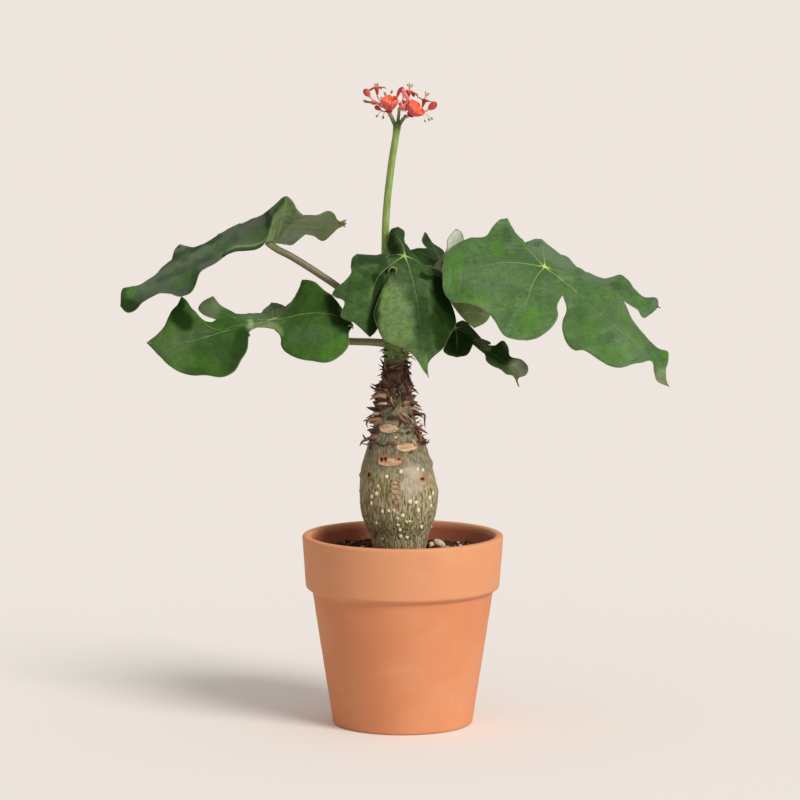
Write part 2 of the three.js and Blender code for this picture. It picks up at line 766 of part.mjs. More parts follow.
// The blade lies flat around the end of its stalk.
function flattenHub(sheet) {
  const radius = 10;
  const normal = sheetNormals(sheet)[0];
  const hub = sheet.points[0].clone();
  for (const point of sheet.points) {
    const away = point.clone().sub(hub);
    const share = Math.exp(-((away.length() / radius) ** 2));
    point.addScaledVector(normal, -share * away.dot(normal));
  }
  return normal;
}

// A sheet thickened to both sides, with the same triangles on both faces.
function thickened(sheet, thickness) {
  const { points, triangles } = sheet;
  const normals = sheetNormals(sheet);
  const upper = points.map((point, i) => point.clone().addScaledVector(normals[i], thickness / 2));
  const lower = points.map((point, i) => point.clone().addScaledVector(normals[i], -thickness / 2));
  const count = points.length;
  const faces = [];
  const edges = new Set(triangles.flatMap(([a, b, c]) => [`${a} ${b}`, `${b} ${c}`, `${c} ${a}`]));
  for (const [a, b, c] of triangles) {
    faces.push([a, b, c], [a + count, c + count, b + count]);
    for (const [from, to] of [[a, b], [b, c], [c, a]]) {
      if (edges.has(`${to} ${from}`)) continue;
      faces.push([from, from + count, to + count], [from, to + count, to]);
    }
  }
  return closedGeometry([...upper, ...lower], faces);
}

// Leaf stalks: the way from the green tip towards the hub, in the same terms as the leaves
const petioleWays = {
  right: [[2, 286, 1], [14, 299, 2], [36, 316, 2], [62, 325, -5], [86, 327.4, -14]],
  front: [[-4, 286, -6], [-2, 300, -13], [0, 322, -23], [1, 338, -32]],
  left_upper: [[-8, 286, 4], [-25, 306, 3], [-49, 325.6, 2], [-75, 342.4, 0], [-86, 350, -1]],
  left_lower: [[-11, 284, 0], [-25, 285, 2], [-39, 285.4, 5], [-70, 288, 8], [-88, 293, 1]],
  right_lower: [[1, 280, -5], [12, 281, -9], [28, 285, -8]],
  back: [[-1, 287, 6], [6, 300, 14], [18, 322, 26], [27, 336, 34]],
};

// The flower stalk and the three branches that its flowers stand on
const peduncleWay = [[-5.6, 288, 0], [-9, 306, 1], [-12.4, 330, 0], [-12.9, 350, 0], [-12.1, 380, 0],
  [-8.6, 414, 0], [-4.6, 440, 0], [-4, 446, 0]];
const branchWays = [
  [[-4.6, 443, 0], [-7.5, 449, 0], [-10.2, 455, 0]],
  [[-4, 443, 0], [-3.2, 450, 1], [-2.4, 457.5, 2]],
  [[-3.8, 443, 0], [-0.6, 448, 0], [2.6, 452, 0]],
];
const branchRadii = [1.4, 1, 1.2];

// Flowers: where each one's throat is, the way it faces, and the branch that it stands on
const blooms = [
  { throat: [-8.8, 462, -7], facing: [0.05, -1, 0.25], reach: 7, foot: 0 },
  { throat: [11, 458.6, -6], facing: [0.15, -1, 0.3], reach: 7.2, foot: 2 },
  { throat: [-19, 471, 3], facing: [-0.15, 0.1, 1], reach: 6.4, foot: 0 },
  { throat: [4.6, 468.4, 5], facing: [0.2, 0.25, 1], reach: 6.6, foot: 1 },
  { throat: [16.4, 462.4, 8], facing: [0.5, 0.5, 0.75], reach: 5.6, foot: 2 },
  { throat: [-21, 462.4, 6], facing: [-1, 0.35, 0.1], reach: 5, foot: 0 },
  { throat: [0.6, 459, 14], facing: [0.1, 1, 0.3], reach: 6.4, foot: 1 },
];
const buds = [
  { tip: [-28.6, 470.6, 0], base: [-24.6, 466, 0], radius: 2.5, foot: 0 },
  { tip: [25, 460.6, 0], base: [19.4, 457, 0], radius: 2.6, foot: 2 },
  { tip: [-20.6, 458.8, -2], base: [-16.4, 456, -1], radius: 1.9, foot: 0 },
  { tip: [-0.6, 472.4, -8], base: [1.2, 466, -6], radius: 2.3, foot: 1 },
];

function petalSheet(root, facing, out, reach) {
  const side = new THREE.Vector3().crossVectors(facing, out);
  const outline = [[-0.06, 0.11], [0.5, 0.31], [0.9, 0.27]];
  const lift = [0, 0.1, 0];
  const points = [];
  outline.forEach(([far, half], step) => {
    const middle = root.clone()
      .addScaledVector(out, far * reach)
      .addScaledVector(facing, lift[step] * reach);
    const cup = 0.05 * reach;
    points.push(middle.clone().addScaledVector(side, -half * reach).addScaledVector(facing, cup));
    points.push(middle.clone());
    points.push(middle.clone().addScaledVector(side, half * reach).addScaledVector(facing, cup));
  });
  const end = root.clone().addScaledVector(out, 1.04 * reach).addScaledVector(facing, -0.08 * reach);
  points.push(end);
  const triangles = [];
  for (let row = 0; row < outline.length - 1; row++) {
    for (let column = 0; column < 2; column++) {
      const a = 3 * row + column;
      triangles.push([a, a + 1, a + 4], [a, a + 4, a + 3]);
    }
  }
  const last = 3 * (outline.length - 1);
  triangles.push([last, last + 1, last + 3], [last + 1, last + 2, last + 3]);
  return { points, triangles };
}

function bloomFrame({ throat, facing, reach }) {
  const centre = seen(throat);
  const axis = new THREE.Vector3(...facing).normalize();
  return { centre, axis, tail: centre.clone().addScaledVector(axis, -0.75 * reach) };
}

function budFrame({ tip, base }) {
  const tail = seen(base);
  const axis = seen(tip).sub(tail);
  return { tail, length: axis.length(), axis: axis.normalize() };
}

// The thin stalk of one flower or bud, from its branch up to the flat foot of its tube.
function pedicel(foot, { axis, tail }) {
  const nearTail = tail.clone().addScaledVector(axis, -1.6);
  const end = tail.clone().addScaledVector(axis, -clearance);
  const half = foot.clone().lerp(nearTail, 0.5).addScaledVector(axis, -0.8);
  return tubeAlong([foot, half, nearTail, end], pedicelRadius, 4, 4);
}

function makeBloom({ reach }, { centre, axis }) {
  const petalCount = 5;
  const starts = ringAbout(centre, axis, 0.16 * reach, petalCount, 0.3);
  const petals = starts.map((start) => {
    const out = start.clone().sub(centre).normalize();
    return thickened(petalSheet(start, axis, out, 0.86 * reach), petalThickness);
  });
  const tubeSteps = [[-0.75, 0.12], [-0.3, 0.18], [0.05, 0.26], [0.16, 0.2]];
  const tube = rod(centre, axis, tubeSteps.map(([far, radius]) => [far * reach, radius * reach]), 6);
  return joined([tube, ...petals]);
}

// The bundle of stamens: a column that opens into a crown of five anthers.
function makeStamens({ reach }, { centre, axis }) {
  const base = 0.16 * reach + clearance;
  const shape = [[0, 0.6, 0.6], [0.24, 0.5, 0.5], [0.36, 1.5, 0.6], [0.52, 1.7, 0.7], [0.6, 0.9, 0.4]];
  const rings = shape.map(([share, outer, inner]) => {
    const level = centre.clone().addScaledVector(axis, base + share * reach);
    const outerRing = ringAbout(level, axis, outer, 5);
    const innerRing = ringAbout(level, axis, inner, 5, Math.PI / 5);
    return outerRing.flatMap((point, index) => [point, innerRing[index]]);
  });
  return loft(rings);
}

function makeBud({ radius }, { tail, axis, length }) {
  const steps = [[0, 0.45], [0.25, 0.8], [0.6, 1], [0.86, 0.75], [1, 0.3]];
  return rod(tail, axis, steps.map(([share, width]) => [share * length, width * radius]), 8);
}

// Materials
const coat = (color, roughness) => new THREE.MeshStandardMaterial({ color, roughness, metalness: 0 });
const materials = {
  terracotta: coat(0xd08a62, 0.85),
  soil: coat(0x3a2a20, 0.95),
  pebble: coat(0xb8a898, 0.8),
  bark: coat(0x77725a, 0.85),
  youngStem: coat(0x6c7a38, 0.6),
  petiole: coat(0x77724f, 0.6),
  leaf: coat(0x3f6b34, 0.45),
  peduncle: coat(0x86a352, 0.5),
  petal: coat(0xe2594f, 0.55),
  stamen: coat(0xcfc38d, 0.6),
};

const plant = new THREE.Group();

function place(name, geometry, material) {
  const mesh = new THREE.Mesh(geometry, material);
  mesh.name = name;
  plant.add(mesh);
}

place("pot", makePot(), materials.terracotta);
place("soil", makeSoil(), materials.soil);
pebbles.forEach((pebble, index) => place(`pebble_${index + 1}`, pebbleBody(pebble, 0), materials.pebble));
place("trunk", makeTrunk(), materials.bark);
place("shoot_tip", tipBody(0), materials.youngStem);

const tipHollow = solidOf(tipBody(clearance));

for (const [name, leaf] of Object.entries(leaves)) {
  const sheet = bladeSheet(leaf);
  const normal = flattenHub(sheet);
  const bladeHollow = solidOf(thickened(sheet, leafThickness + 3 * clearance));
  const petiole = makePetiole(petioleWays[name], sheet.points[0], normal, bladeHollow, tipHollow);
  place(`petiole_${name}`, geometryOf(petiole), materials.petiole);
  place(`leaf_${name}`, thickened(sheet, leafThickness), materials.leaf);
}

const feet = branchWays.map((way) => seen(way.at(-1)));
const bloomFrames = blooms.map(bloomFrame);
const budFrames = buds.map(budFrame);
const stalkParts = [
  tubeAlong(peduncleWay.map(seen), peduncleRadius, 8, 12),
  ...branchWays.map((way, index) => tubeAlong(way.map(seen), branchRadii[index], 6, 3)),
  ...blooms.map(({ foot }, index) => pedicel(feet[foot], bloomFrames[index])),
  ...buds.map(({ foot }, index) => pedicel(feet[foot], budFrames[index])),
];
place("peduncle", geometryOf(joined(stalkParts).subtract(tipHollow)), materials.peduncle);

blooms.forEach((bloom, index) => {
  const frame = bloomFrames[index];
  place(`bloom_${index + 1}`, geometryOf(makeBloom(bloom, frame)), materials.petal);
  place(`stamens_${index + 1}`, makeStamens(bloom, frame), materials.stamen);
});
buds.forEach((bud, index) => {
  place(`bud_${index + 1}`, makeBud(bud, budFrames[index]), materials.petal);
});

export default plant;
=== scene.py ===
# A jatropha in a terracotta pot: the looks of every piece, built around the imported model.
# The frame is X right, Y away from the viewer and Z up, in metres. Tables are in millimetres.
import json
import math
import random

import bmesh
import bpy
import numpy as np
from mathutils import Matrix, Vector, kdtree, noise

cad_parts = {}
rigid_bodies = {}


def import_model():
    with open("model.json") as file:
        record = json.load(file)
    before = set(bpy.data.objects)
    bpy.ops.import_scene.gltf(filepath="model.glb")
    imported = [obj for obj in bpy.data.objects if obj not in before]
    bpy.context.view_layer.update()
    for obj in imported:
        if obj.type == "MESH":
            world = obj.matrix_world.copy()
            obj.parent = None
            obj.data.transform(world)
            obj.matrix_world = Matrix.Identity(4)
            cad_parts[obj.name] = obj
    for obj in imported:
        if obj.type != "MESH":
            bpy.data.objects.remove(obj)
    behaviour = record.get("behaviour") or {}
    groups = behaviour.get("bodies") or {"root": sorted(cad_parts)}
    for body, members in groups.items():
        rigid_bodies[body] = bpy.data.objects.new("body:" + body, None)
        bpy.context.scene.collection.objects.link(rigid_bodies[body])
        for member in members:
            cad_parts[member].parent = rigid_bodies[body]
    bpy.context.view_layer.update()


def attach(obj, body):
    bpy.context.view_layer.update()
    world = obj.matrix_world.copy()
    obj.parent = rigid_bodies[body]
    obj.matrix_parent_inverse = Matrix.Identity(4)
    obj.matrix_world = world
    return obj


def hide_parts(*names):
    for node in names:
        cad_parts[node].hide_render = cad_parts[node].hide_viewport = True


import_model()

MM = 0.001
GOLDEN_ANGLE = math.pi * (3 - math.sqrt(5))
UP = np.array((0.0, 0.0, 1.0))

# Driving dimensions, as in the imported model
POT_HEIGHT = 141.5
POT_RIM_RADIUS = 75
POT_RIM_FOOT = 102.5
POT_NECK_RADIUS = 67.4
POT_BASE_RADIUS = 52.3
POT_LIP_WIDTH = 6
POT_FLOOR = 8
DRAIN_RADIUS = 4
DRAIN_CIRCLE = 22
SOIL_HEIGHT = 127
SOIL_RELIEF = 1.6
TRUNK_TOP = 268
LEAF_THICKNESS = 0.6
PETIOLE_RADIUS = 2.75

# The eye that the leaves and flowers are set out from: places are (across, up, back), where
# across and up are on the upright plane through the pot's axis, and back is how far behind it.
EYE = np.array((-2, -2500, 524)) * MM
EYE_PITCH = 6.44
EYE_LENS = 152.87


def seen(place):
    across, up, back = place
    on_plane = np.array((across, 0.0, up)) * MM
    return EYE + (on_plane - EYE) * (1 - back * MM / EYE[1])


def as_seen(points):
    """Where points show on the upright plane through the pot's axis, in millimetres."""
    on_plane = EYE + (points - EYE) * (-EYE[1] / (points[:, 1] - EYE[1]))[:, None]
    return on_plane[:, (0, 2)] / MM


# Tools for curves and surfaces

def unit(vectors):
    vectors = np.asarray(vectors, float)
    length = np.linalg.norm(vectors, axis=-1, keepdims=True)
    return vectors / np.maximum(length, 1e-12)


def heading(angle):
    return np.array((math.cos(angle), math.sin(angle), 0))


def round_angles(sides):
    return np.linspace(0, 2 * math.pi, sides, endpoint=False)


def smooth_step(value, low, high):
    share = np.clip((np.asarray(value, float) - low) / (high - low), 0, 1)
    return share * share * (3 - 2 * share)


def curve_at(points, shares):
    """Points of the centripetal curve through the given ones; shares run from 0 to 1 by point."""
    points = np.asarray(points, float)
    last = len(points) - 1
    padded = np.concatenate([[2 * points[0] - points[1]], points, [2 * points[-1] - points[-2]]])
    place = np.asarray(shares, float) * last
    start = np.minimum(place.astype(int), last - 1)
    w = (place - start)[:, None]
    before, here, there, after = (padded[start + k] for k in range(4))
    gap = [np.sqrt(np.linalg.norm(b - a, axis=1))[:, None]
           for a, b in ((before, here), (here, there), (there, after))]
    leaving = (here - before) / gap[0] - (there - before) / (gap[0] + gap[1])
    leaving = (leaving + (there - here) / gap[1]) * gap[1]
    arriving = (there - here) / gap[1] - (after - here) / (gap[1] + gap[2])
    arriving = (arriving + (after - there) / gap[2]) * gap[1]
    bend = -3 * here + 3 * there - 2 * leaving - arriving
    twist = 2 * here - 2 * there + leaving + arriving
    return here + w * (leaving + w * (bend + w * twist))


def curve_evenly(points, count):
    """count + 1 points of the same curve, evenly spaced along it."""
    shares = np.linspace(0, 1, 201)
    fine = curve_at(points, shares)
    lengths = np.concatenate([[0], np.cumsum(np.linalg.norm(np.diff(fine, axis=0), axis=1))])
    return curve_at(points, np.interp(np.linspace(0, lengths[-1], count + 1), lengths, shares))


def seen_way(places, count):
    """A way of count steps along places given as seen in front, and each point's share of it."""
    return curve_evenly([seen(place) for place in places], count), np.linspace(0, 1, count + 1)


def length_of(points):
    return np.linalg.norm(np.diff(points, axis=0), axis=1).sum()


def rough(points, size, seed=0.0):
    """Soft noise from -1 to 1 at each point, with features of about the given size."""
    offset = Vector((seed, 2.3 * seed, -1.7 * seed))
    return np.array([noise.noise(Vector(point) / size + offset) for point in np.asarray(points)])


def add_object(name, data):
    made = bpy.data.objects.new(name, data)
    bpy.context.scene.collection.objects.link(made)
    return made


def add_mesh(name, points, faces):
    mesh = bpy.data.meshes.new(name)
    mesh.from_pydata(points, [], faces)
    return add_object(name, mesh)


class Shape:
    """Points and faces collected from parts, with named numbers for each point."""

    def __init__(self, scale=1.0):
        self.scale = scale
        self.points = []
        self.faces = []
        self.values = {}
        self.count = 0

    def add(self, points, faces, **values):
        self.points.append(np.asarray(points, float) * self.scale)
        self.faces.extend([[corner + self.count for corner in face] for face in faces])
        for name, value in values.items():
            column = np.broadcast_to(np.asarray(value, float), (len(points),))
            self.values.setdefault(name, []).append(column)
        self.count += len(points)

    def add_tube(self, way, radii, sides, flatness=1.0, aside=None, wrinkles=None, ends=None, **values):
        """A tube whose values are one number, or one for each step and one for each end.
        wrinkles are their height, their size and a seed."""
        points, faces = tube(way, radii, sides, flatness, aside)
        if wrinkles:
            height, size, seed = wrinkles
            points = points + height * np.stack([rough(points, size, seed + k) for k in range(3)], axis=1)
        for name, value in values.items():
            if np.ndim(value):
                tips = ends or (value[0], value[-1])
                values[name] = np.concatenate([np.repeat(value, sides), tips])
        self.add(points, faces, **values)

    def piece(self, name, material, slot, *nodes):
        made = add_mesh(name, np.concatenate(self.points).tolist(), self.faces)
        mesh = made.data
        for value_name, columns in self.values.items():
            attribute = mesh.attributes.new(value_name, "FLOAT", "POINT")
            attribute.data.foreach_set("value", np.concatenate(columns).astype(np.float32))
        mesh.polygons.foreach_set("use_smooth", np.ones(len(mesh.polygons), bool))
        mesh.materials.append(material)
        mesh.update()
        if nodes:
            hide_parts(*nodes)
        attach(made, "root")
        return made


def tube_faces(rows, sides):
    """Faces of rows of points, each row closed on itself, with a fan to a point at each end."""
    faces = []
    first, last = rows * sides, rows * sides + 1
    for side in range(sides):
        after = (side + 1) % sides
        faces.append((first, after, side))
        faces.append((last, (rows - 1) * sides + side, (rows - 1) * sides + after))
        for row in range(0, (rows - 1) * sides, sides):
            faces.append((row + side, row + after, row + sides + after, row + sides + side))
    return faces


def grid_faces(rows, columns):
    return [(corner, corner + 1, corner + columns + 1, corner + columns)
            for row in range(rows - 1) for corner in range(row * columns, (row + 1) * columns - 1)]


def tube(way, radii, sides, flatness=1.0, aside=None):
    """A closed tube along a way. aside is the direction of its flat side."""
    way = np.asarray(way, float)
    tangents = unit(np.gradient(way, axis=0))
    start = UP if aside is None else np.asarray(aside, float)
    if abs(np.dot(start, tangents[0])) > 0.95:
        start = np.array((1.0, 0.3, 0.1))
    first = unit(start - tangents[0] * np.dot(start, tangents[0]))
    cosines, sines = np.cos(round_angles(sides)), np.sin(round_angles(sides))
    rings = []
    for centre, tangent, radius in zip(way, tangents, np.broadcast_to(radii, (len(way),))):
        first = unit(first - tangent * np.dot(first, tangent))
        second = np.cross(tangent, first)
        rings.append(centre + radius * (np.outer(cosines, second) + flatness * np.outer(sines, first)))
    return np.concatenate([*rings, way[:1], way[-1:]]), tube_faces(len(way), sides)


def lathed(profile, sides):
    """A closed body turned about the Z axis from a profile that starts and ends on it."""
    angles = round_angles(sides)
    rows = [np.stack([r * np.cos(angles), r * np.sin(angles), np.full(sides, z)], axis=1)
            for r, z in profile[1:-1]]
    ends = [(0, 0, profile[0][1]), (0, 0, profile[-1][1])]
    return np.concatenate([*rows, ends]) * MM, tube_faces(len(rows), sides)


def ball(detail):
    """A unit sphere of triangles."""
    work = bmesh.new()
    bmesh.ops.create_icosphere(work, subdivisions=detail, radius=1)
    points = np.array([vertex.co[:] for vertex in work.verts])
    faces = [[vertex.index for vertex in face.verts] for face in work.faces]
    work.free()
    return points, faces


def point_normals(points, faces):
    corners = [(face[0], face[k], face[k + 1]) for face in faces for k in range(1, len(face) - 1)]
    a, b, c = np.array(corners).T
    facing = np.cross(points[b] - points[a], points[c] - points[a])
    normals = np.zeros_like(points)
    for corner in (a, b, c):
        np.add.at(normals, corner, facing)
    return unit(normals)


def thickened(points, faces, thickness):
    """A sheet thickened to both sides: its upper points, then its lower ones."""
    half = point_normals(points, faces) * np.broadcast_to(thickness, len(points))[:, None] / 2
    count = len(points)
    seams = {(face[k - 1], face[k]) for face in faces for k in range(len(face))}
    rim = [(end, start, start + count, end + count)
           for start, end in sorted(seams) if (end, start) not in seams]
    lower = [[corner + count for corner in reversed(face)] for face in faces]
    return np.concatenate([points + half, points - half]), [*faces, *lower, *rim]


def along_axis(axis):
    """Three unit rows: two directions across the axis, and the axis."""
    axis = unit(axis)
    helper = UP if abs(axis[2]) < 0.9 else np.array((1.0, 0.0, 0.0))
    first = unit(np.cross(helper, axis))
    return np.array((first, np.cross(axis, first), axis))


# Tools for materials

def colour(red, green, blue):
    """A colour as it looks on a screen, from 0 to 255, in the shader's own linear numbers."""
    shares = [value / 255 for value in (red, green, blue)]
    linear = [s / 12.92 if s <= 0.04045 else ((s + 0.055) / 1.055) ** 2.4 for s in shares]
    return (*linear, 1.0)


class Look:
    """A material, with short calls for its nodes. A value may be a number, a node's output or the
    name of a number that each point has; a colour may be three screen values or an output."""

    def __init__(self, name, roughness, specular):
        self.material = bpy.data.materials.new(name)
        self.material.use_nodes = True
        self.tree = self.material.node_tree
        self.shader = self.tree.nodes["Principled BSDF"]
        self.shader.inputs["Roughness"].default_value = roughness
        self.shader.inputs["Specular IOR Level"].default_value = specular
        self.height = None

    def put(self, value, socket):
        if isinstance(value, str):
            value = self.node("ShaderNodeAttribute", attribute_name=value).outputs["Fac"]
        if isinstance(value, bpy.types.NodeSocket):
            self.tree.links.new(value, socket)
        else:
            socket.default_value = value

    def node(self, kind, inputs=(), **settings):
        made = self.tree.nodes.new(kind)
        for name, value in settings.items():
            setattr(made, name, value)
        for name, value in dict(inputs).items():
            self.put(value, made.inputs[name])
        return made

    def place(self, stretch):
        coordinates = self.node("ShaderNodeTexCoord").outputs["Object"]
        return self.node("ShaderNodeMapping", {"Vector": coordinates, "Scale": stretch}).outputs[0]

    def noise(self, size, detail=3.0, stretch=(1, 1, 1)):
        inputs = {"Vector": self.place(stretch), "Scale": 1 / (size * MM), "Detail": detail}
        return self.node("ShaderNodeTexNoise", inputs).outputs["Fac"]

    def spots(self, size, detail, low, high, stretch=(1, 1, 1)):
        """Noise that runs from 0 to 1 between two of its values."""
        return self.step(self.noise(size, detail, stretch), low, high)

    def cracks(self, size, stretch=(1, 1, 1), bend=0.0):
        """The distance to the nearest edge of a net of cells, in cells."""
        place = self.place(stretch)
        wander = self.node("ShaderNodeTexNoise", {"Vector": place, "Scale": 0.6 / (size * MM)})
        shift = self.node("ShaderNodeVectorMath", operation="MULTIPLY_ADD")
        for value, socket in zip((wander.outputs["Color"], (bend * size * MM,) * 3, place), shift.inputs):
            self.put(value, socket)
        inputs = {"Vector": shift.outputs[0], "Scale": 1 / (size * MM)}
        net = self.node("ShaderNodeTexVoronoi", inputs, feature="DISTANCE_TO_EDGE")
        return net.outputs["Distance"]

    def math(self, operation, *values):
        made = self.node("ShaderNodeMath", operation=operation)
        for value, socket in zip(values, made.inputs):
            self.put(value, socket)
        return made.outputs[0]

    def times(self, first, second):
        return self.math("MULTIPLY", first, second)

    def step(self, value, low, high, start=0.0, end=1.0):
        inputs = {"Value": value, "From Min": low, "From Max": high, "To Min": start, "To Max": end}
        return self.node("ShaderNodeMapRange", inputs, interpolation_type="SMOOTHSTEP").outputs[0]

    def mix(self, share, first, second):
        made = self.node("ShaderNodeMix", data_type="RGBA")
        first, second = (colour(*tint) if isinstance(tint, tuple) and len(tint) == 3 else tint
                         for tint in (first, second))
        for value, socket in zip((share, first, second), (made.inputs[0], *made.inputs[6:8])):
            self.put(value, socket)
        return made.outputs[2]

    def over(self, base, *layers):
        """base under layers, which are each where it lies, its colour and, if not 1, how strong."""
        for share, tint, *strength in layers:
            base = self.mix(self.times(share, *strength) if strength else share, base, tint)
        return base

    def raise_by(self, value, height):
        """Adds a bump of the given height, in millimetres, where value is 1."""
        inputs = {"Height": value, "Distance": height * MM, "Strength": 1.0}
        if self.height is not None:
            inputs["Normal"] = self.height
        self.height = self.node("ShaderNodeBump", inputs).outputs[0]

    def done(self, base, roughness=None):
        for value, name in ((base, "Base Color"), (roughness, "Roughness"), (self.height, "Normal")):
            if value is not None:
                self.put(value, self.shader.inputs[name])
        return self.material


# Materials

def terracotta():
    look = Look("terracotta", 0.7, 0.4)
    look.raise_by(look.noise(0.7, 4), 0.04)
    look.raise_by(look.noise(6, 3, (1, 1, 5)), 0.1)
    base = look.over(
        (203, 128, 85),
        (look.spots(60, 2, 0.35, 0.68), (208, 137, 94)),
        (look.step("level", 0.1, 0.104), (211, 147, 105), 0.6),
        (look.spots(24, 4, 0.5, 0.8, (1, 1, 2.0)), (222, 166, 130), 0.16),
        (look.spots(0.9, 2, 0.62, 0.72), (170, 98, 66), 0.12),
        # The inside wall is painted darker: partly damp clay, partly painted shade.
        ("inside", (172, 94, 66)))
    return look.done(base, look.step(look.noise(12), 0.3, 0.7, 0.62, 0.74))


def potting_soil():
    look = Look("potting_soil", 0.95, 0.15)
    look.raise_by(look.noise(1.1, 6), 0.5)
    return look.done(look.over(
        (38, 22, 16),
        (look.noise(2.2, 5), (82, 54, 40)),
        (look.step("tone", 0.55, 0.85), (112, 76, 54)),
        (look.step("tone", 0.93, 0.95), (196, 186, 172))))


def pebble():
    look = Look("pebble", 0.75, 0.35)
    look.raise_by(look.noise(0.8, 5), 0.12)
    return look.done(look.over(
        (96, 80, 68), ("tone", (200, 176, 156)), (look.spots(1.8, 4, 0.46, 0.7), (214, 198, 182))))


def bark():
    look = Look("bark", 0.8, 0.3)
    cells = look.step(look.cracks(1.9, (1, 1, 0.26), 1.6), 0.0, 0.26)
    grain = look.spots(1.5, 4, 0.4, 0.6, (1, 1, 0.2))
    fissures = look.math("MAXIMUM", look.times(cells, 0.9), grain)
    fine = look.spots(0.8, 3, 0.35, 0.6, (1, 1, 0.3))
    belly = look.step("level", 0.2, 0.178)
    greenness = look.spots(20, 2, 0.42, 0.6)
    ridge = look.over(
        (184, 168, 132), (greenness, (168, 160, 112)), (look.spots(7, 3, 0.48, 0.7), (198, 184, 150)))
    groove = look.mix(greenness, (98, 80, 54), (92, 84, 48))
    grooved = look.mix(fissures, groove, ridge)
    grooved = look.mix(look.math("MULTIPLY_ADD", fine, 0.4, 0.6), groove, grooved)
    streaks = look.spots(1.3, 5, 0.36, 0.62, (1, 1, 0.25))
    clouds = look.spots(9, 3, 0.4, 0.64)
    smooth = look.mix(streaks, look.mix(clouds, (99, 89, 64), (86, 86, 66)),
                      look.mix(clouds, (144, 132, 102), (126, 124, 100)))
    # The neck's own dark brown bark, also laid in bands at the rings of stipules as painted shade.
    neck = look.over(
        (34, 20, 15), (look.spots(3.6, 4, 0.42, 0.6), (98, 60, 42)),
        (look.spots(5.2, 3, 0.56, 0.7), (112, 92, 70)))
    flesh = look.mix(look.spots(2.4, 4, 0.36, 0.66, (0.4, 0.4, 1.6)), (208, 180, 146), (172, 130, 94))
    inside_scar = look.step("scar", 0.35, -0.2)
    rough_belly = look.times(belly, look.math("SUBTRACT", 1.0, inside_scar))
    look.raise_by(look.times(fissures, rough_belly), 0.4)
    look.raise_by(look.times(fine, rough_belly), 0.15)
    look.raise_by(streaks, 0.08)
    look.raise_by(look.noise(1.1, 5), 0.2)
    return look.done(look.over(
        look.mix(belly, smooth, grooved),
        ("stain", (130, 92, 66), 0.7),
        ("pale", (192, 176, 158), 0.85),
        ("neck", neck),
        (look.step("scar", 1.1, 0.2), (112, 82, 58), 0.5),
        (inside_scar, flesh, 0.92),
        (look.step("hole", 1.5, 0.2), (168, 110, 68), 0.7),
        (look.step("hole", 0.1, -0.5), (74, 38, 22))))


def stipule():
    look = Look("stipule", 0.65, 0.3)
    look.raise_by(look.noise(0.6, 4), 0.12)
    return look.done(look.over(
        (44, 27, 21),
        (look.step("tone", 0.05, 0.5), (130, 92, 68)),
        (look.step("tone", 0.5, 0.8), (186, 150, 118)),
        (look.step("tone", 0.8, 1.0), (222, 190, 168)),
        (look.step("tip", 0.4, 1.0), (70, 44, 32), 0.6),
        ("green", (122, 132, 62)),
        (look.spots(1.0, 4, 0.35, 0.65), (92, 58, 42), 0.3)))


def lenticel():
    look = Look("lenticel", 0.8, 0.25)
    look.raise_by(look.noise(0.4, 4), 0.08)
    return look.done(look.mix(look.noise(0.8, 3), (236, 226, 196), (206, 190, 154)))


def young_stem():
    look = Look("young_stem", 0.45, 0.4)
    look.raise_by(look.noise(1.6, 3), 0.2)
    return look.done(look.over(
        (48, 70, 16),
        (look.spots(5.5, 3, 0.36, 0.64), (98, 122, 48)),
        (look.spots(3.4, 3, 0.56, 0.74), (142, 146, 84)),
        (look.spots(2.2, 4, 0.62, 0.7), (70, 54, 24)),
        (look.step("level", 0.2735, 0.2695), (78, 56, 30))))


def leaf_stalk():
    look = Look("leaf_stalk", 0.5, 0.4)
    look.raise_by(look.noise(0.8, 4), 0.06)
    return look.done(look.over(
        (128, 128, 92),
        (look.step("share", 0.05, 0.7), (116, 108, 84)),
        (look.step("share", 0.86, 1.0), (138, 150, 92)),
        (look.spots(1.6, 4, 0.4, 0.66), (92, 84, 62), 0.4)))


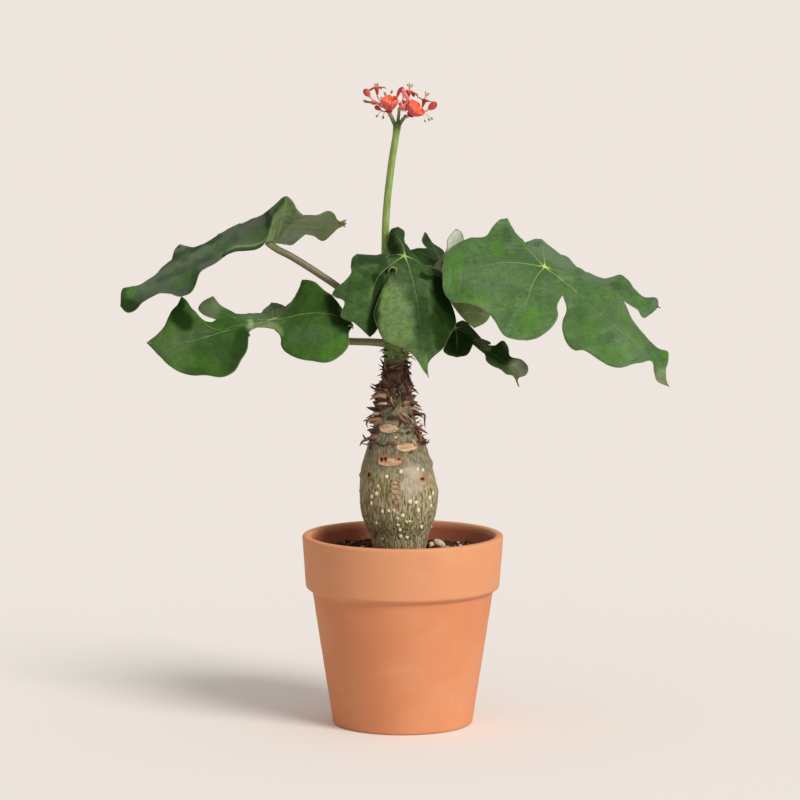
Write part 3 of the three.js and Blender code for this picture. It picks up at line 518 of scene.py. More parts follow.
def leaf_blade():
    look = Look("leaf_blade", 0.45, 0.28)
    rib_width = look.times(look.step("hub", 0.0, 50.0, 0.8, 0.3), look.step("rib_tone", 1.0, 2.4, 0.95, 1.6))
    rib_line = look.step(look.math("DIVIDE", "rib", rib_width), 1.0, 0.3)
    rib_line = look.times(rib_line, "rib_strength")
    nearest = look.math("ABSOLUTE", look.math("SUBTRACT", "phase", look.math("ROUND", "phase")))
    side_line = look.step(look.times(nearest, "spacing"), 0.7, 0.1)
    side_line = look.times(side_line, "side_strength")
    net = look.step(look.cracks(4.2, bend=0.5), 0.09, 0.01)
    fine_net = look.step(look.cracks(1.7, bend=0.4), 0.12, 0.0)
    rib_shade = look.times(look.step("hub", 70.0, 10.0, 0.15, 0.75), "rib_tone")
    star = look.step(look.math("MULTIPLY_ADD", "rib", 4.5, "hub"), 8.5, 1.5)
    top = look.over(
        (54, 90, 36),
        (look.spots(24, 3, 0.36, 0.64), (76, 111, 49)),
        (look.spots(7.5, 3, 0.38, 0.62), (61, 90, 49), 0.7),
        (look.spots(9.5, 3, 0.5, 0.68), (72, 113, 34), 0.5),
        (look.spots(4.2, 3, 0.54, 0.7, (1, 1, 1.3)), (40, 70, 33), 0.6),
        ("shade", (32, 52, 22)),
        (net, (46, 78, 34), 0.3),
        (fine_net, (98, 128, 72), 0.18),
        ("lime", (76, 124, 32), 0.7),
        # Painted light and highlights from the light strokes.
        ("light", (128, 158, 92)),
        # A painted bluish sheen from the sheen strokes.
        ("grey", (93, 112, 80), 0.8),
        (side_line, (120, 150, 92), 0.08),
        (look.spots(3.4, 4, 0.37, 0.66, (1, 1, 1.2)), (24, 48, 20), "mottle"),
        # Painted shade and shadow from the dark strokes, with some of the leaf's own darker patches.
        ("dark", (20, 38, 10)),
        (rib_line, (134, 160, 96), look.math("MINIMUM", rib_shade, 0.75)),
        (look.times(star, look.math("MINIMUM", "rib_tone", 1.0)), (190, 214, 104)))
    underside = look.over(
        (88, 108, 60),
        (look.noise(9, 3), (112, 130, 84)),
        (net, (134, 144, 104), 0.3),
        (side_line, (140, 150, 106), 0.5),
        (rib_line, (156, 164, 112)),
        # Painted light, a painted sheen and painted shade from the strokes show on the underside too.
        ("light", (190, 200, 178)),
        ("lime", (122, 156, 74), 0.7),
        ("grey", (98, 106, 84), 0.8),
        ("dark", (30, 44, 18), 0.6))
    base = look.over(underside, ("upper", top), (look.step("edge", 0.7, 0.1), (118, 130, 84)))
    look.raise_by(look.noise(5.0, 3), 0.3)
    look.raise_by(look.times(net, -1.0), 0.04)
    look.raise_by(look.times(side_line, -1.0), 0.06)
    look.raise_by(look.noise(0.7, 3), 0.03)
    dull = look.math("MAXIMUM", "dark", look.times("lime", 0.7))
    look.put(look.math("MULTIPLY_ADD", dull, -0.27, 0.28), look.shader.inputs["Specular IOR Level"])
    roughness = look.mix("dark", (0.52, 0.52, 0.52, 1), (0.9, 0.9, 0.9, 1))
    return look.done(base, look.mix("upper", (0.65, 0.65, 0.65, 1), roughness))


def flower_stalk():
    look = Look("flower_stalk", 0.45, 0.35)
    streaks = look.spots(1.5, 4, 0.4, 0.65, (1, 1, 0.15))
    look.raise_by(streaks, 0.05)
    branches = look.mix(look.step("level", 1.0, 2.0), (64, 94, 38), (116, 138, 76))
    return look.done(look.over(
        (118, 142, 68), (streaks, (142, 164, 88)), (look.step("level", 0.955, 0.99), branches),
        ("blush", (222, 152, 128))))


def petal():
    look = Look("petal", 0.5, 0.3)
    look.raise_by(look.noise(0.5, 3), 0.05)
    outer = look.over(
        (158, 34, 32), (look.step("share", 0.1, 0.85), (216, 68, 58)),
        (look.step("share", 0.7, 1.0), (240, 112, 88)))
    inner = look.mix(look.step("share", 0.1, 0.8), (250, 130, 56), (240, 106, 72))
    return look.done(look.over(
        outer,
        ("inner", inner),
        (look.spots(0.8, 3, 0.45, 0.68), (250, 140, 122), 0.4),
        ("pink", (238, 128, 128)),
        # Painted shade: a dark purple-brown over the petals of the flowers seen edge-on, stronger away from
        # the tube.
        ("dusk", (116, 56, 66), look.step("share", 0.15, 0.6))))


def crown():
    look = Look("flower_crown", 0.45, 0.35)
    look.raise_by(look.noise(0.5, 3), 0.08)
    return look.done(look.over(
        # The crowns of those flowers take the same painted shade.
        (252, 140, 52), (look.noise(0.9, 2), (242, 104, 48)), ("dusk", (226, 84, 74))))


def stamen():
    look = Look("stamen", 0.6, 0.3)
    look.raise_by(look.noise(0.3, 3), 0.06)
    dark = look.mix(look.step("share", 0.3, 0.9), (140, 110, 58), (70, 74, 66))
    return look.done(look.over(
        (226, 196, 146), (look.step("share", 0.55, 0.8), (150, 136, 84)),
        (look.spots(0.5, 2, 0.45, 0.6), (214, 200, 146)), ("dark", dark)))


def bud():
    look = Look("bud", 0.4, 0.4)
    look.raise_by(look.noise(0.6, 3), 0.06)
    return look.done(look.over(
        (204, 72, 66),
        (look.step("share", 0.2, 0.9), (160, 34, 40)),
        (look.step("share", 0.25, 0.0), (136, 140, 74)),
        (look.spots(0.8, 3, 0.45, 0.7), (232, 120, 108), 0.4)))


# Pot

def rounded(corners):
    """A profile whose corners, given as (radius, height, rounding), are rounded off."""
    profile = []
    for index, (radius, height, rounding) in enumerate(corners):
        here = np.array((radius, height), float)
        if not rounding:
            profile.append(here)
            continue
        start, end = (here + unit(np.array(corners[index + side][:2], float) - here) * rounding
                      for side in (-1, 1))
        for share in np.linspace(0, 1, 5):
            profile.append((1 - share) ** 2 * start + 2 * share * (1 - share) * here + share ** 2 * end)
    return profile


def filled(profile, spacing):
    """The same profile with points at most spacing apart."""
    points = [profile[0]]
    for start, end in zip(profile, profile[1:]):
        count = max(1, math.ceil(np.linalg.norm(np.subtract(end, start)) / spacing))
        points.extend(start + (np.subtract(end, start)) * k / count for k in range(1, count + 1))
    return points


def inner_radius(height):
    share = (height - POT_FLOOR) / (POT_HEIGHT - POT_FLOOR)
    floor_radius = POT_BASE_RADIUS - POT_LIP_WIDTH
    return floor_radius + share * (POT_RIM_RADIUS - POT_LIP_WIDTH - floor_radius)


def make_pot():
    rim_taper, rim_step, largest_face = 2.9, 3.2, 3.5
    corners = [
        (0, 0, 0),
        (POT_BASE_RADIUS, 0, 2),
        (POT_NECK_RADIUS, POT_RIM_FOOT - rim_step, 1.2),
        (POT_RIM_RADIUS - rim_taper, POT_RIM_FOOT, 1.6),
        (POT_RIM_RADIUS, POT_HEIGHT, 2.2),
        (POT_RIM_RADIUS - POT_LIP_WIDTH, POT_HEIGHT, 2.2),
        (inner_radius(POT_FLOOR), POT_FLOOR, 3),
        (0, POT_FLOOR, 0),
    ]
    points, faces = lathed(filled(rounded(corners), largest_face), 160)
    inner = inner_radius(points[:, 2] / MM) * MM
    radius = np.hypot(points[:, 0], points[:, 1])
    # inside marks the inner wall, which is painted darker as damp clay and painted shade.
    inside = smooth_step(inner + 0.8 * MM - radius, 0, 0.5 * MM)
    inside *= smooth_step(points[:, 2], (POT_HEIGHT - 2) * MM, (POT_HEIGHT - 6) * MM)
    outer = (radius > 1e-6) * (1 - inside)
    wheel_marks = 0.07 * np.sin(points[:, 2] / MM * 1.9) + 0.16 * rough(points * (1, 1, 3), 0.03, 4)
    swing = 1 + outer * (wheel_marks - 0.16) * MM / np.maximum(radius, 0.01)
    points[:, :2] *= swing[:, None]
    shape = Shape()
    shape.add(points, faces, inside=inside, level=points[:, 2])
    drill_drains(shape.piece("clay_pot", terracotta(), "terracotta", "pot"))


def drill_drains(pot):
    cutters = Shape()
    for hole in range(3):
        centre = heading(2 * math.pi * (hole + 0.25) / 3) * DRAIN_CIRCLE * MM
        way = [centre - UP * POT_FLOOR * MM, centre + UP * 2 * POT_FLOOR * MM]
        cutters.add(*tube(way, DRAIN_RADIUS * MM, 32))
    cutter = add_mesh("drains", np.concatenate(cutters.points).tolist(), cutters.faces)
    cut = pot.modifiers.new("drains", "BOOLEAN")
    cut.operation = "DIFFERENCE"
    cut.solver = "EXACT"
    cut.object = cutter
    bpy.context.view_layer.update()
    drilled = pot.evaluated_get(bpy.context.evaluated_depsgraph_get())
    pot.data = bpy.data.meshes.new_from_object(drilled)
    pot.modifiers.clear()
    bpy.data.objects.remove(cutter)


# Soil, its crumbs and the pebbles on it

def soil_top(x, y):
    waves = np.sin(x / 7 + y / 11) * np.cos(y / 6 - x / 15) + 0.6 * np.sin(x / 4 - y / 3.4)
    mound = 3.2 * np.exp(-((x - 26) ** 2 + (y - 15) ** 2) / 90)
    return SOIL_HEIGHT + SOIL_RELIEF * 0.6 * waves + mound


def make_soil():
    numbers = random.Random(5)
    gap, crumb_count = 0.4, 1500
    edge = inner_radius(SOIL_HEIGHT) - gap
    profile = [(0, POT_FLOOR + 0.3), (inner_radius(POT_FLOOR) - 2, POT_FLOOR + 0.3)]
    levels = np.linspace(POT_FLOOR + 2, SOIL_HEIGHT - 3, 12)
    profile += [(inner_radius(level) - gap, level) for level in levels]
    profile += [(radius, SOIL_HEIGHT) for radius in np.linspace(edge, 1, 44)]
    points, faces = lathed([*profile, (0, SOIL_HEIGHT)], 132)
    top = points[:, 2] > (SOIL_HEIGHT - 1) * MM
    x, y = points[:, 0] / MM, points[:, 1] / MM
    lumps = 0.9 * rough(points, 0.005, 7) + 0.6 * rough(points, 0.0022, 9)
    points[top, 2] = (soil_top(x, y) + lumps)[top] * MM
    shape = Shape()
    shape.add(points, faces, tone=0.3 + 0.3 * lumps)
    crumb_ball, lump_ball = ball(1), ball(2)
    for crumb in range(crumb_count):
        radius = edge * math.sqrt(numbers.uniform(0.08, 0.985))
        at = radius * heading(numbers.uniform(0, 2 * math.pi))
        size = numbers.uniform(0.5, 1.3) if crumb % 9 else numbers.uniform(1.3, 2.6)
        at[2] = soil_top(at[0], at[1]) + 0.4 * size
        at[:2] *= min(1, (inner_radius(SOIL_HEIGHT) - 1.2 * size) / max(radius, 1e-6))
        stretch = np.array([numbers.uniform(0.6, 1.5), numbers.uniform(0.6, 1.2), 0.7])
        turn = Matrix.Rotation(numbers.uniform(0, math.pi), 3, "Z")
        base, faces = lump_ball if size > 1.6 else crumb_ball
        lumpy = base * (1 + 0.3 * rough(base, 0.9, crumb))[:, None]
        body = (lumpy * stretch * size) @ np.array(turn).T + at
        shape.add(body * MM, faces, tone=numbers.random() ** 1.6)
    shape.piece("earth", potting_soil(), "potting_soil", "soil")


# Pebbles: place, size, turn about the upright, tone from dark to pale, lift off the soil and tilt
PEBBLES = [
    ((21.4, 12), (2.3, 2.2, 2.3), 0.4, 0.9, 2.4, 0),
    ((27.6, 15), (4.8, 3.2, 2.6), 0.1, 0.85, 2.2, 0.5),
    ((27, 2), (3.4, 2.8, 2.2), 2.2, 0.5, 1, 0),
    ((33.4, 8), (2.6, 3.4, 2.2), 0.2, 0.6, 1.6, 0),
    ((-30, 16), (3.4, 2.8, 2.2), 1.8, 0, 0.8, 0),
]


def make_pebbles():
    look = pebble()
    points, faces = ball(4)
    for number, ((x, y), size, turn, tone, lift, tilt) in enumerate(PEBBLES, 1):
        worn = points * (1 + 0.2 * rough(points, 0.7, 2 + number))[:, None]
        turned = np.array(Matrix.Rotation(turn, 3, "Z") @ Matrix.Rotation(tilt, 3, "Y"))
        shape = Shape(MM)
        shape.add((worn * size) @ turned.T + (x, y, soil_top(x, y) + lift), faces, tone=tone)
        shape.piece(f"stone_{number}", look, "pebble", f"pebble_{number}")


# Trunk: [height, middle, radius], from the root's end up to the green tip
TRUNK_FORM = [
    (88, -1, 4), (100, -1, 9.5), (114, -1.5, 14.5), (127, -2, 18.2), (134, -2, 20.2), (141, -2, 21.6),
    (149, -2.7, 25), (157, -3, 27.4), (166, -3, 28.6), (175, -3.4, 28.8), (184, -3.9, 27.9),
    (192, -4.3, 26.4), (200, -4.4, 24), (208, -4.5, 21.6), (216, -5.1, 18.8), (225, -5.4, 15.7),
    (234, -6, 14.9), (242, -6.6, 14), (250, -6.7, 13), (255, -5.9, 10.6), (262, -5.5, 9.6),
    (TRUNK_TOP, -5.2, 9.3),
]
# The green tip: (height, radius)
TIP_FORM = [(268.3, 8.7), (272, 8.5), (276, 9.2), (281, 9.3), (286, 8.4), (290, 6.3), (293, 3)]
TIP_MIDDLE = -4.9
TRUNK_FINE = curve_at(TRUNK_FORM, np.linspace(0, 1, 600))


def trunk_at(height):
    """The middle and the radius of the trunk at a height."""
    return (np.interp(height, TRUNK_FINE[:, 0], TRUNK_FINE[:, column]) for column in (1, 2))


def trunk_side(height, angle, depth=0.0):
    """The place on the trunk's side at a height and an angle, and the way it faces."""
    middle, radius = trunk_at(height)
    facing = heading(angle)
    return np.array((middle, 0, height)) + facing * (radius - depth), facing


def on_trunk(across, up):
    """The place on the trunk's front that shows at (across, up), and the way it faces."""
    place = np.array((across, 0.0, up))
    for _ in range(4):
        middle, radius = trunk_at(place[2])
        depth = math.sqrt(max(radius ** 2 - (place[0] - middle) ** 2, 0.0))
        place = seen((across, up, -depth)) / MM
    middle, radius = trunk_at(place[2])
    facing = unit((place[0] - middle, -depth, 0))
    return np.array((middle, 0, place[2])) + facing * radius, facing


# What shows on the trunk's front, as (across, up) and then the half width and half height
LEAF_SCARS = [
    (-9.7, 195.6, 8.8, 2.9), (-10.7, 220.6, 6.9, 3.0), (3.6, 206.6, 8.2, 2.8), (-5, 214, 1.3, 0.8),
    (-5.3, 180.4, 1.7, 0.9), (-5, 177.3, 2.3, 1.0), (-4.6, 174, 2.6, 1.2), (-6.6, 169.6, 1.0, 1.8),
    (-3.2, 169.8, 1.0, 1.8),
]
HOLES = [
    (-16, 197.3, 1.5, 1.7), (-13.2, 197.6, 1.3, 1.8), (-3, 197.7, 1.4, 0.9), (-24.6, 186, 1.7, 1.9),
    (14.6, 182.8, 2.3, 1.3),
]
KNOBS = [(21, 195.2, 2.6, 2.4), (-31.5, 186, 1.4, 1.0), (14.6, 181.6, 4.2, 3.0), (-24.6, 185.4, 3.4, 3.0)]
PALE_PATCHES = [(7, 178, 9.5, 8), (7.5, 187.5, 7.5, 5.5)]
LENTICELS = [
    (-12, 184.6), (11, 190), (15, 189.5), (-19.6, 171.8), (-23, 169.5), (-23.3, 164.6), (-15, 158.6),
    (-10.5, 159), (-6.4, 159.4), (0, 155.5), (3, 151), (5.2, 151.2), (5.5, 165.6), (10, 165.2),
    (11.6, 159.4), (20, 168.7), (14, 147), (-2, 145), (-1.5, 140), (3.2, 139), (-15, 138.4),
    (-19.4, 150.2), (22.4, 172), (-1.4, 188.2), (-18.4, 177.4), (-3.6, 148.6), (21, 162.6), (-4, 153.6),
]


def mark_distance(points, facings, marks):
    """How far each point lies outside the nearest mark, in millimetres; below 0 inside. A mark is
    its place and the way it faces, its half width and its half height."""
    distance = np.full(len(points), 20.0)
    for (place, facing), half_width, half_height in marks:
        aside = np.array((-facing[1], facing[0], 0))
        offset = points - place
        ratio = np.hypot(offset @ aside / half_width, offset[:, 2] / half_height)
        ratio = np.where(facings @ facing > 0, ratio, 9)
        distance = np.minimum(distance, (ratio - 1) * min(half_width, half_height))
    return distance


def make_trunk():
    heights = np.concatenate([np.linspace(88, 126, 12), np.linspace(126.6, TRUNK_TOP, 270)])
    sides = 250
    turn = np.tile(round_angles(sides), len(heights))
    level, middle, radius = (np.repeat(row, sides) for row in (heights, *trunk_at(heights)))
    facings = np.stack([np.cos(turn), np.sin(turn), np.zeros_like(turn)], axis=1)
    base = np.stack([middle, np.zeros_like(turn), level], axis=1) + facings * radius[:, None]

    belly = smooth_step(level, 205, 192)
    neck = smooth_step(level + 6 * rough(base, 6, 2) - 2 * facings[:, 0], 234, 247)
    # Bands at the rings of stipules: painted shade under the stipules. The same mask roughens the bark there.
    for ring in (211, 221, 231, 242):
        patchy = smooth_step(rough(base * (1, 1, 2), 5, ring), -0.15, 0.2)
        neck = np.maximum(neck, 0.9 * patchy * np.exp(-((level - ring) / 3.2) ** 2))
    ribs = rough(base * (1, 1, 0.16), 4.6, 3) * 0.5 + rough(base * (1, 1, 0.2), 2.3, 5) * 0.22
    swell = rough(base, 15, 8) * 0.7
    rings = rough(base * (0.3, 0.3, 1), 2.6, 12) * 0.35 * (1 - belly)
    crags = rough(base, 3.2, 14) * 1.3 * neck + rough(base, 1.5, 15) * 0.5 * neck
    reach = belly * ribs + swell * (1 - 0.5 * neck) + rings + crags

    marks = [[(on_trunk(across, up), *halves) for across, up, *halves in table]
             for table in (LEAF_SCARS, HOLES, KNOBS, PALE_PATCHES)]
    back_draws, back_scars = random.Random(4), 7
    for index in range(back_scars):
        angle = math.pi * 0.08 + (index * GOLDEN_ANGLE) % (math.pi * 0.84)
        height = 172 + 52 * (index + back_draws.random()) / back_scars
        marks[0].append((trunk_side(height, angle), 6.5, 2.6))
    scar, hole, knob, pale = (mark_distance(base, facings, of_kind) for of_kind in marks)
    pale = smooth_step(pale + 2.5 * rough(base, 3.5, 21), 3, -3)
    scar = scar + 0.5 * rough(base, 1.8, 31)
    reach += 0.5 * smooth_step(scar, 1.4, 0.3) - 0.7 * smooth_step(scar, 0.3, -1.2)
    reach += 1.1 * smooth_step(knob, 2.2, -1.5) - 1.5 * smooth_step(hole, 0.3, -0.8)
    fade = smooth_step(level, 112, 126) * smooth_step(level, TRUNK_TOP, TRUNK_TOP - 2)
    points = base + facings * (reach * fade)[:, None]
    ends = [(-1, 0, heights[0]), (TIP_MIDDLE, 0, TRUNK_TOP)]

    stain = smooth_step(rough(base * (1, 1, 0.5), 9, 40), 0.1, 0.5) * smooth_step(level, 152, 134)
    stain = np.maximum(stain, smooth_step(hole, 4, 0.5) * 0.6)
    columns = {"level": (level * MM, 0), "scar": (scar, 20), "hole": (hole, 20), "pale": (pale * 0.7, 0),
               "stain": (stain, 0), "neck": (neck * 0.92, 0)}
    shape = Shape(MM)
    shape.add(np.concatenate([points, ends]), tube_faces(len(heights), sides),
              **{name: np.append(values, [end, end]) for name, (values, end) in columns.items()})
    shape.piece("stem", bark(), "bark", "trunk")


def make_lenticels():
    """Small corky dots: those that show in front, and more like them all round."""
    numbers = random.Random(8)
    places = [on_trunk(*spot) for spot in LENTICELS]
    behind = 60
    for _ in range(behind):
        angle = numbers.uniform(0.05, math.pi - 0.05)
        places.append(trunk_side(numbers.triangular(130, 200, 158), angle))
    points, faces = ball(2)
    shape = Shape(MM)
    for centre, facing in places:
        size = np.array((numbers.uniform(1.2, 1.7), numbers.uniform(1.3, 2.0), 0.6))
        lumpy = points * (1 + 0.25 * rough(points, 0.8, float(centre[2]))[:, None])
        shape.add(centre + (lumpy * size) @ along_axis(facing), faces, tone=numbers.random())
    shape.piece("lenticels", lenticel(), "bark")


# The woody stipules that old leaf stalks leave on the neck: branched spikes, scales and flakes

def add_spike(shape, root, axis, length, width, curl, flatness, tone, green):
    shares = np.linspace(0, 1, 6)
    up = unit(UP - axis * axis[2])
    way = root + np.outer(shares * length, axis) + np.outer(shares ** 2 * curl * length, up)
    radii = width * (1 - shares) ** 0.75 + 0.09
    shape.add_tube(way, radii, 5, flatness, up, tone=tone, tip=shares, green=green)


def add_stipule(shape, numbers, root, facing, size, tone, green=0.0):
    """One stipule: a main spike with smaller ones that fork from it."""
    lean = numbers.uniform(-0.7, 0.7)
    axis = unit(facing + np.cross(UP, facing) * lean + UP * numbers.uniform(-0.35, 0.75))
    curl = numbers.uniform(-0.3, 0.35)
    width = size * numbers.uniform(0.15, 0.22)
    add_spike(shape, root - axis * 1.2, axis, size + 1.2, width, curl, 0.55, tone, green)
    for fork in range(numbers.choice((1, 2, 2, 3))):
        turn = (-1) ** fork * numbers.uniform(0.35, 1.0)
        branch = unit(axis + np.cross(UP, axis) * turn + UP * numbers.uniform(-0.6, 0.6))
        start = root + axis * size * numbers.uniform(0.08, 0.45)
        length = size * numbers.uniform(0.4, 0.65)
        add_spike(shape, start, branch, length, 0.65 * width, curl, 0.6, tone + 0.08, green)


def add_scale(shape, numbers, root, facing, size, tone):
    """A broad, curled, papery scale."""
    rise, lean = numbers.uniform(-0.7, 0.9), numbers.uniform(-0.5, 0.5)
    axis = unit(facing * 0.75 + UP * rise + np.cross(UP, facing) * lean)
    shares = np.linspace(0, 1, 7)
    curl = numbers.uniform(-0.45, 0.45)
    way = root - axis * 1.5 + np.outer(shares * (size + 1.5), axis)
    way = way + np.outer(shares ** 2 * curl * size, UP)
    radii = 0.34 * size * np.sin(np.pi * (0.16 + 0.8 * shares)) + 0.12
    aside = unit(np.cross(np.cross(axis, UP), axis))
    shape.add_tube(way, radii, 10, 0.2, aside, (0.25, 1.6, 50), (0, 0.6),
                   tone=tone, tip=shares * 0.5, green=0.0)


def add_flake(shape, numbers, root, facing, size, tone):
    """A dry flake that lies on the neck and lifts at one end."""
    aside = np.cross(UP, facing) * numbers.choice((-1, 1))
    across, rise, out = (numbers.uniform(*span) for span in ((0.3, 1), (-0.6, 0.8), (0.25, 0.6)))
    axis = unit(aside * across + UP * rise + facing * out)
    shares = np.linspace(0, 1, 8)
    lift = numbers.uniform(0, 0.4)
    way = root + np.outer(shares * size, axis) + np.outer(shares ** 2 * size * lift, facing)
    taper = (1 - shares ** 2.2) ** 0.6 * smooth_step(shares, -0.3, 0.3)
    radii = numbers.uniform(0.22, 0.34) * size * taper + 0.1
    flatness = numbers.uniform(0.2, 0.45)
    shape.add_tube(way, radii, 9, flatness, facing, (0.3, 1.5, 60), tone=tone, tip=shares, green=0.0)


# Those that show in front: tone, radius, flatness, and the way from the trunk as seen in front
THORNS = [
    (0.1, 0.6, 1, [(14.4, 213), (8.2, 212), (6.8, 209.6), (8.6, 207), (12.4, 206.2), (17.4, 208)]),
    (0.95, 2.2, 0.4, [(7.6, 210.6), (9.4, 209), (11.8, 207.6)]),
    (0.5, 2.1, 0.5, [(12.4, 211), (12.2, 216), (11.2, 222.6)]),
    (0.15, 1.0, 1, [(13, 210.6), (15.4, 210.6), (18.2, 211.4)]),
    (0.15, 0.8, 1, [(13.6, 209.4), (17.9, 208)]),
    (0.4, 1.4, 1, [(9.8, 221.6), (12.6, 220.4), (18.8, 216.6)]),
    (0.45, 1.8, 0.7, [(8.8, 222.6), (12.8, 220.6)]),
    (0.45, 1.05, 1, [(16, 231), (16.2, 226), (16.6, 220.8)]),
    (0.15, 0.7, 1, [(8.2, 231), (12, 230.4), (16, 228)]),
    (0.95, 1.6, 0.5, [(7, 235.6), (10.6, 235.6), (15, 234)]),
    (0.3, 1.2, 1, [(7.6, 232.6), (11, 232.4), (14.6, 229.8)]),
    (0.35, 1.7, 0.7, [(5, 241), (8.6, 239.4), (13.8, 236.4)]), (0.2, 1.3, 0.8, [(7.4, 234), (12, 233)]),
    (0.1, 0.9, 1, [(4.4, 250.4), (7.4, 250), (10.2, 249.6)]),
    (0.1, 0.6, 1, [(7.4, 250), (9.4, 248.6), (12.2, 246)]),
    (0.6, 3.0, 0.4, [(4.6, 250), (3.2, 246), (1.2, 241)]),
    (0.05, 1.3, 1, [(3.6, 259.4), (5.4, 256), (8.2, 251.6)]),
    (0.03, 1.2, 1, [(2.4, 270), (4.4, 269.8), (6.8, 268)]), (0.05, 0.7, 1, [(3.2, 267), (6, 264.6)]),
    (0.05, 0.7, 1, [(-12.8, 279), (-15.4, 279.2), (-17.2, 277.6)]),
    (0.03, 1.0, 1, [(-12.6, 274.4), (-16.4, 273.6)]),
    (0.05, 0.9, 1, [(-13.4, 268), (-15.2, 270.4), (-17, 273)]),
    (0.08, 0.6, 1, [(-13.8, 265.8), (-18.2, 268.4)]), (0.6, 0.6, 1, [(-12.6, 265), (-13, 268), (-14, 272)]),
    (0.02, 2.2, 0.6, [(-13.4, 266), (-13.2, 261), (-14.6, 258)]),
    (0.1, 1.0, 1, [(-17.6, 252), (-20.6, 252.6), (-23, 254)]),
    (0.75, 1.9, 0.5, [(-12.6, 245), (-18, 245.2), (-24.4, 242)]),
    (0.45, 1.4, 0.7, [(-14, 247), (-18.6, 247.4), (-22.6, 245)]),
    (0.1, 1.2, 1, [(-12, 241.4), (-17, 240.6), (-22.4, 240.6)]),
    (1.0, 1.5, 0.5, [(-12, 239), (-15, 239.4), (-19.4, 238.6)]),
    (0.1, 1.1, 1, [(-8.6, 238), (-13, 237.4), (-16.6, 238)]),
    (0.7, 1.8, 0.5, [(-8.8, 243.4), (-8, 240), (-5.8, 236.8)]),
    (0.55, 1.5, 0.6, [(-10.8, 247), (-9.4, 243), (-10.6, 240)]),
    (0.05, 0.9, 1, [(0.2, 247), (-0.6, 241), (-2.8, 237.6), (-4.4, 241.4)]),
    (0.02, 2.6, 0.5, [(-4, 250), (-3.4, 246), (-4, 242)]),
    (0.85, 1.0, 0.6, [(-5.4, 250), (-3.4, 248.6), (-1.2, 246)]),
    (0.1, 1.0, 1, [(-6, 236.6), (-7.4, 234.4), (-10, 234)]),
    (0.02, 1.7, 1, [(-18.4, 233.4), (-22.4, 235), (-27, 236.6)]),
    (0.85, 2.1, 0.5, [(-18, 232.6), (-20.6, 231.6), (-23, 230.4)]),
    (0.2, 1.0, 1, [(-18.4, 231), (-22.6, 230.6), (-27.4, 228)]),
    (0.6, 1.9, 0.7, [(-16.8, 227.2), (-22, 227.2), (-29.6, 226.2)]),
    (0.35, 1.0, 1, [(-24, 227), (-26.8, 224.6), (-25.8, 221)]),
    (0.5, 1.6, 0.7, [(-16, 225.6), (-20, 224.6), (-24.6, 225)]),
    (0.02, 2.4, 0.8, [(-19, 220.6), (-21.6, 218.8), (-24.4, 217.2)]),
    (0.95, 1.1, 0.7, [(-18.8, 223), (-21.4, 221.6)]), (0.02, 1.6, 0.8, [(-18.2, 218.6), (-20.8, 216.4)]),
    (0.9, 1.0, 0.7, [(-18.6, 219.2), (-20.6, 217.6)]),
    (0.3, 1.6, 1, [(-20.8, 214.2), (-25.6, 212.8), (-30, 210.6), (-32, 207.2)]),
    (0.35, 1.1, 1, [(-24.8, 212.8), (-27.6, 213), (-29.8, 216.4)]),
    (0.4, 2.2, 0.6, [(-19.6, 214.4), (-25, 213)]),
    (0.04, 0.8, 1, [(-1.4, 227), (-1.8, 223.6), (-3.6, 221)]),
    # A dark lip over the leaf scar; its dark tone is painted shade.
    (0.15, 1.5, 0.7, [(-10, 228.4), (-6, 228.4), (-2.6, 227.6)]),
    (0.6, 1.7, 0.7, [(-2.4, 229.6), (1.4, 226.4), (6.4, 223.6)]),
    (0.75, 1.6, 0.5, [(-0.6, 231.6), (3.4, 229.4), (7, 226.4)]),
    (0.9, 1.7, 0.5, [(5.6, 227), (7.6, 225.2), (9.6, 223.4)]),
    (0.15, 1.1, 1, [(1.6, 227.2), (3.6, 225), (4.6, 222.6)]),
    (0.6, 0.6, 1, [(-9, 266.4), (-5, 267.4), (-1.4, 268.6)]),
    (0.1, 1.4, 0.7, [(-9.6, 262), (-5, 263.4), (0, 263)]),
    (0.05, 1.8, 0.7, [(1.4, 264), (2.4, 260), (2, 256)]),
    (0.3, 1.6, 0.6, [(-16.6, 251), (-13, 248.6), (-9.6, 248.8)]),
]
GREEN_THORNS = [
    (0.5, 0.6, 1, [(1.6, 276), (4.4, 276.4), (7.6, 276.8)]),
    (0.2, 0.6, 1, [(1.8, 273.4), (5, 273.8), (8.6, 275.6)]),
    (0.2, 0.6, 1, [(3, 274.6), (6.4, 273.6), (10, 271)]),
    (0.5, 0.7, 1, [(1.4, 278.4), (3.6, 274.6), (4.4, 271.2)]),
]


def add_thorns(shape, thorns, green):
    for tone, radius, flatness, spots in thorns:
        start, facing = on_trunk(*spots[0])
        way = [start - facing * 1.4]
        lifts = np.linspace(0.4, 2.2, len(spots))
        way += [seen((across, up, start[1] - lift)) / MM for (across, up), lift in zip(spots, lifts)]
        shares = np.linspace(0, 1, 15)
        radii = radius * (1 - shares ** 1.6) ** 0.8 + 0.1
        shape.add_tube(curve_evenly(way, 14), radii, 9, flatness, facing, (0.22, 1.3, 40),
                       tone=tone, tip=shares, green=green)


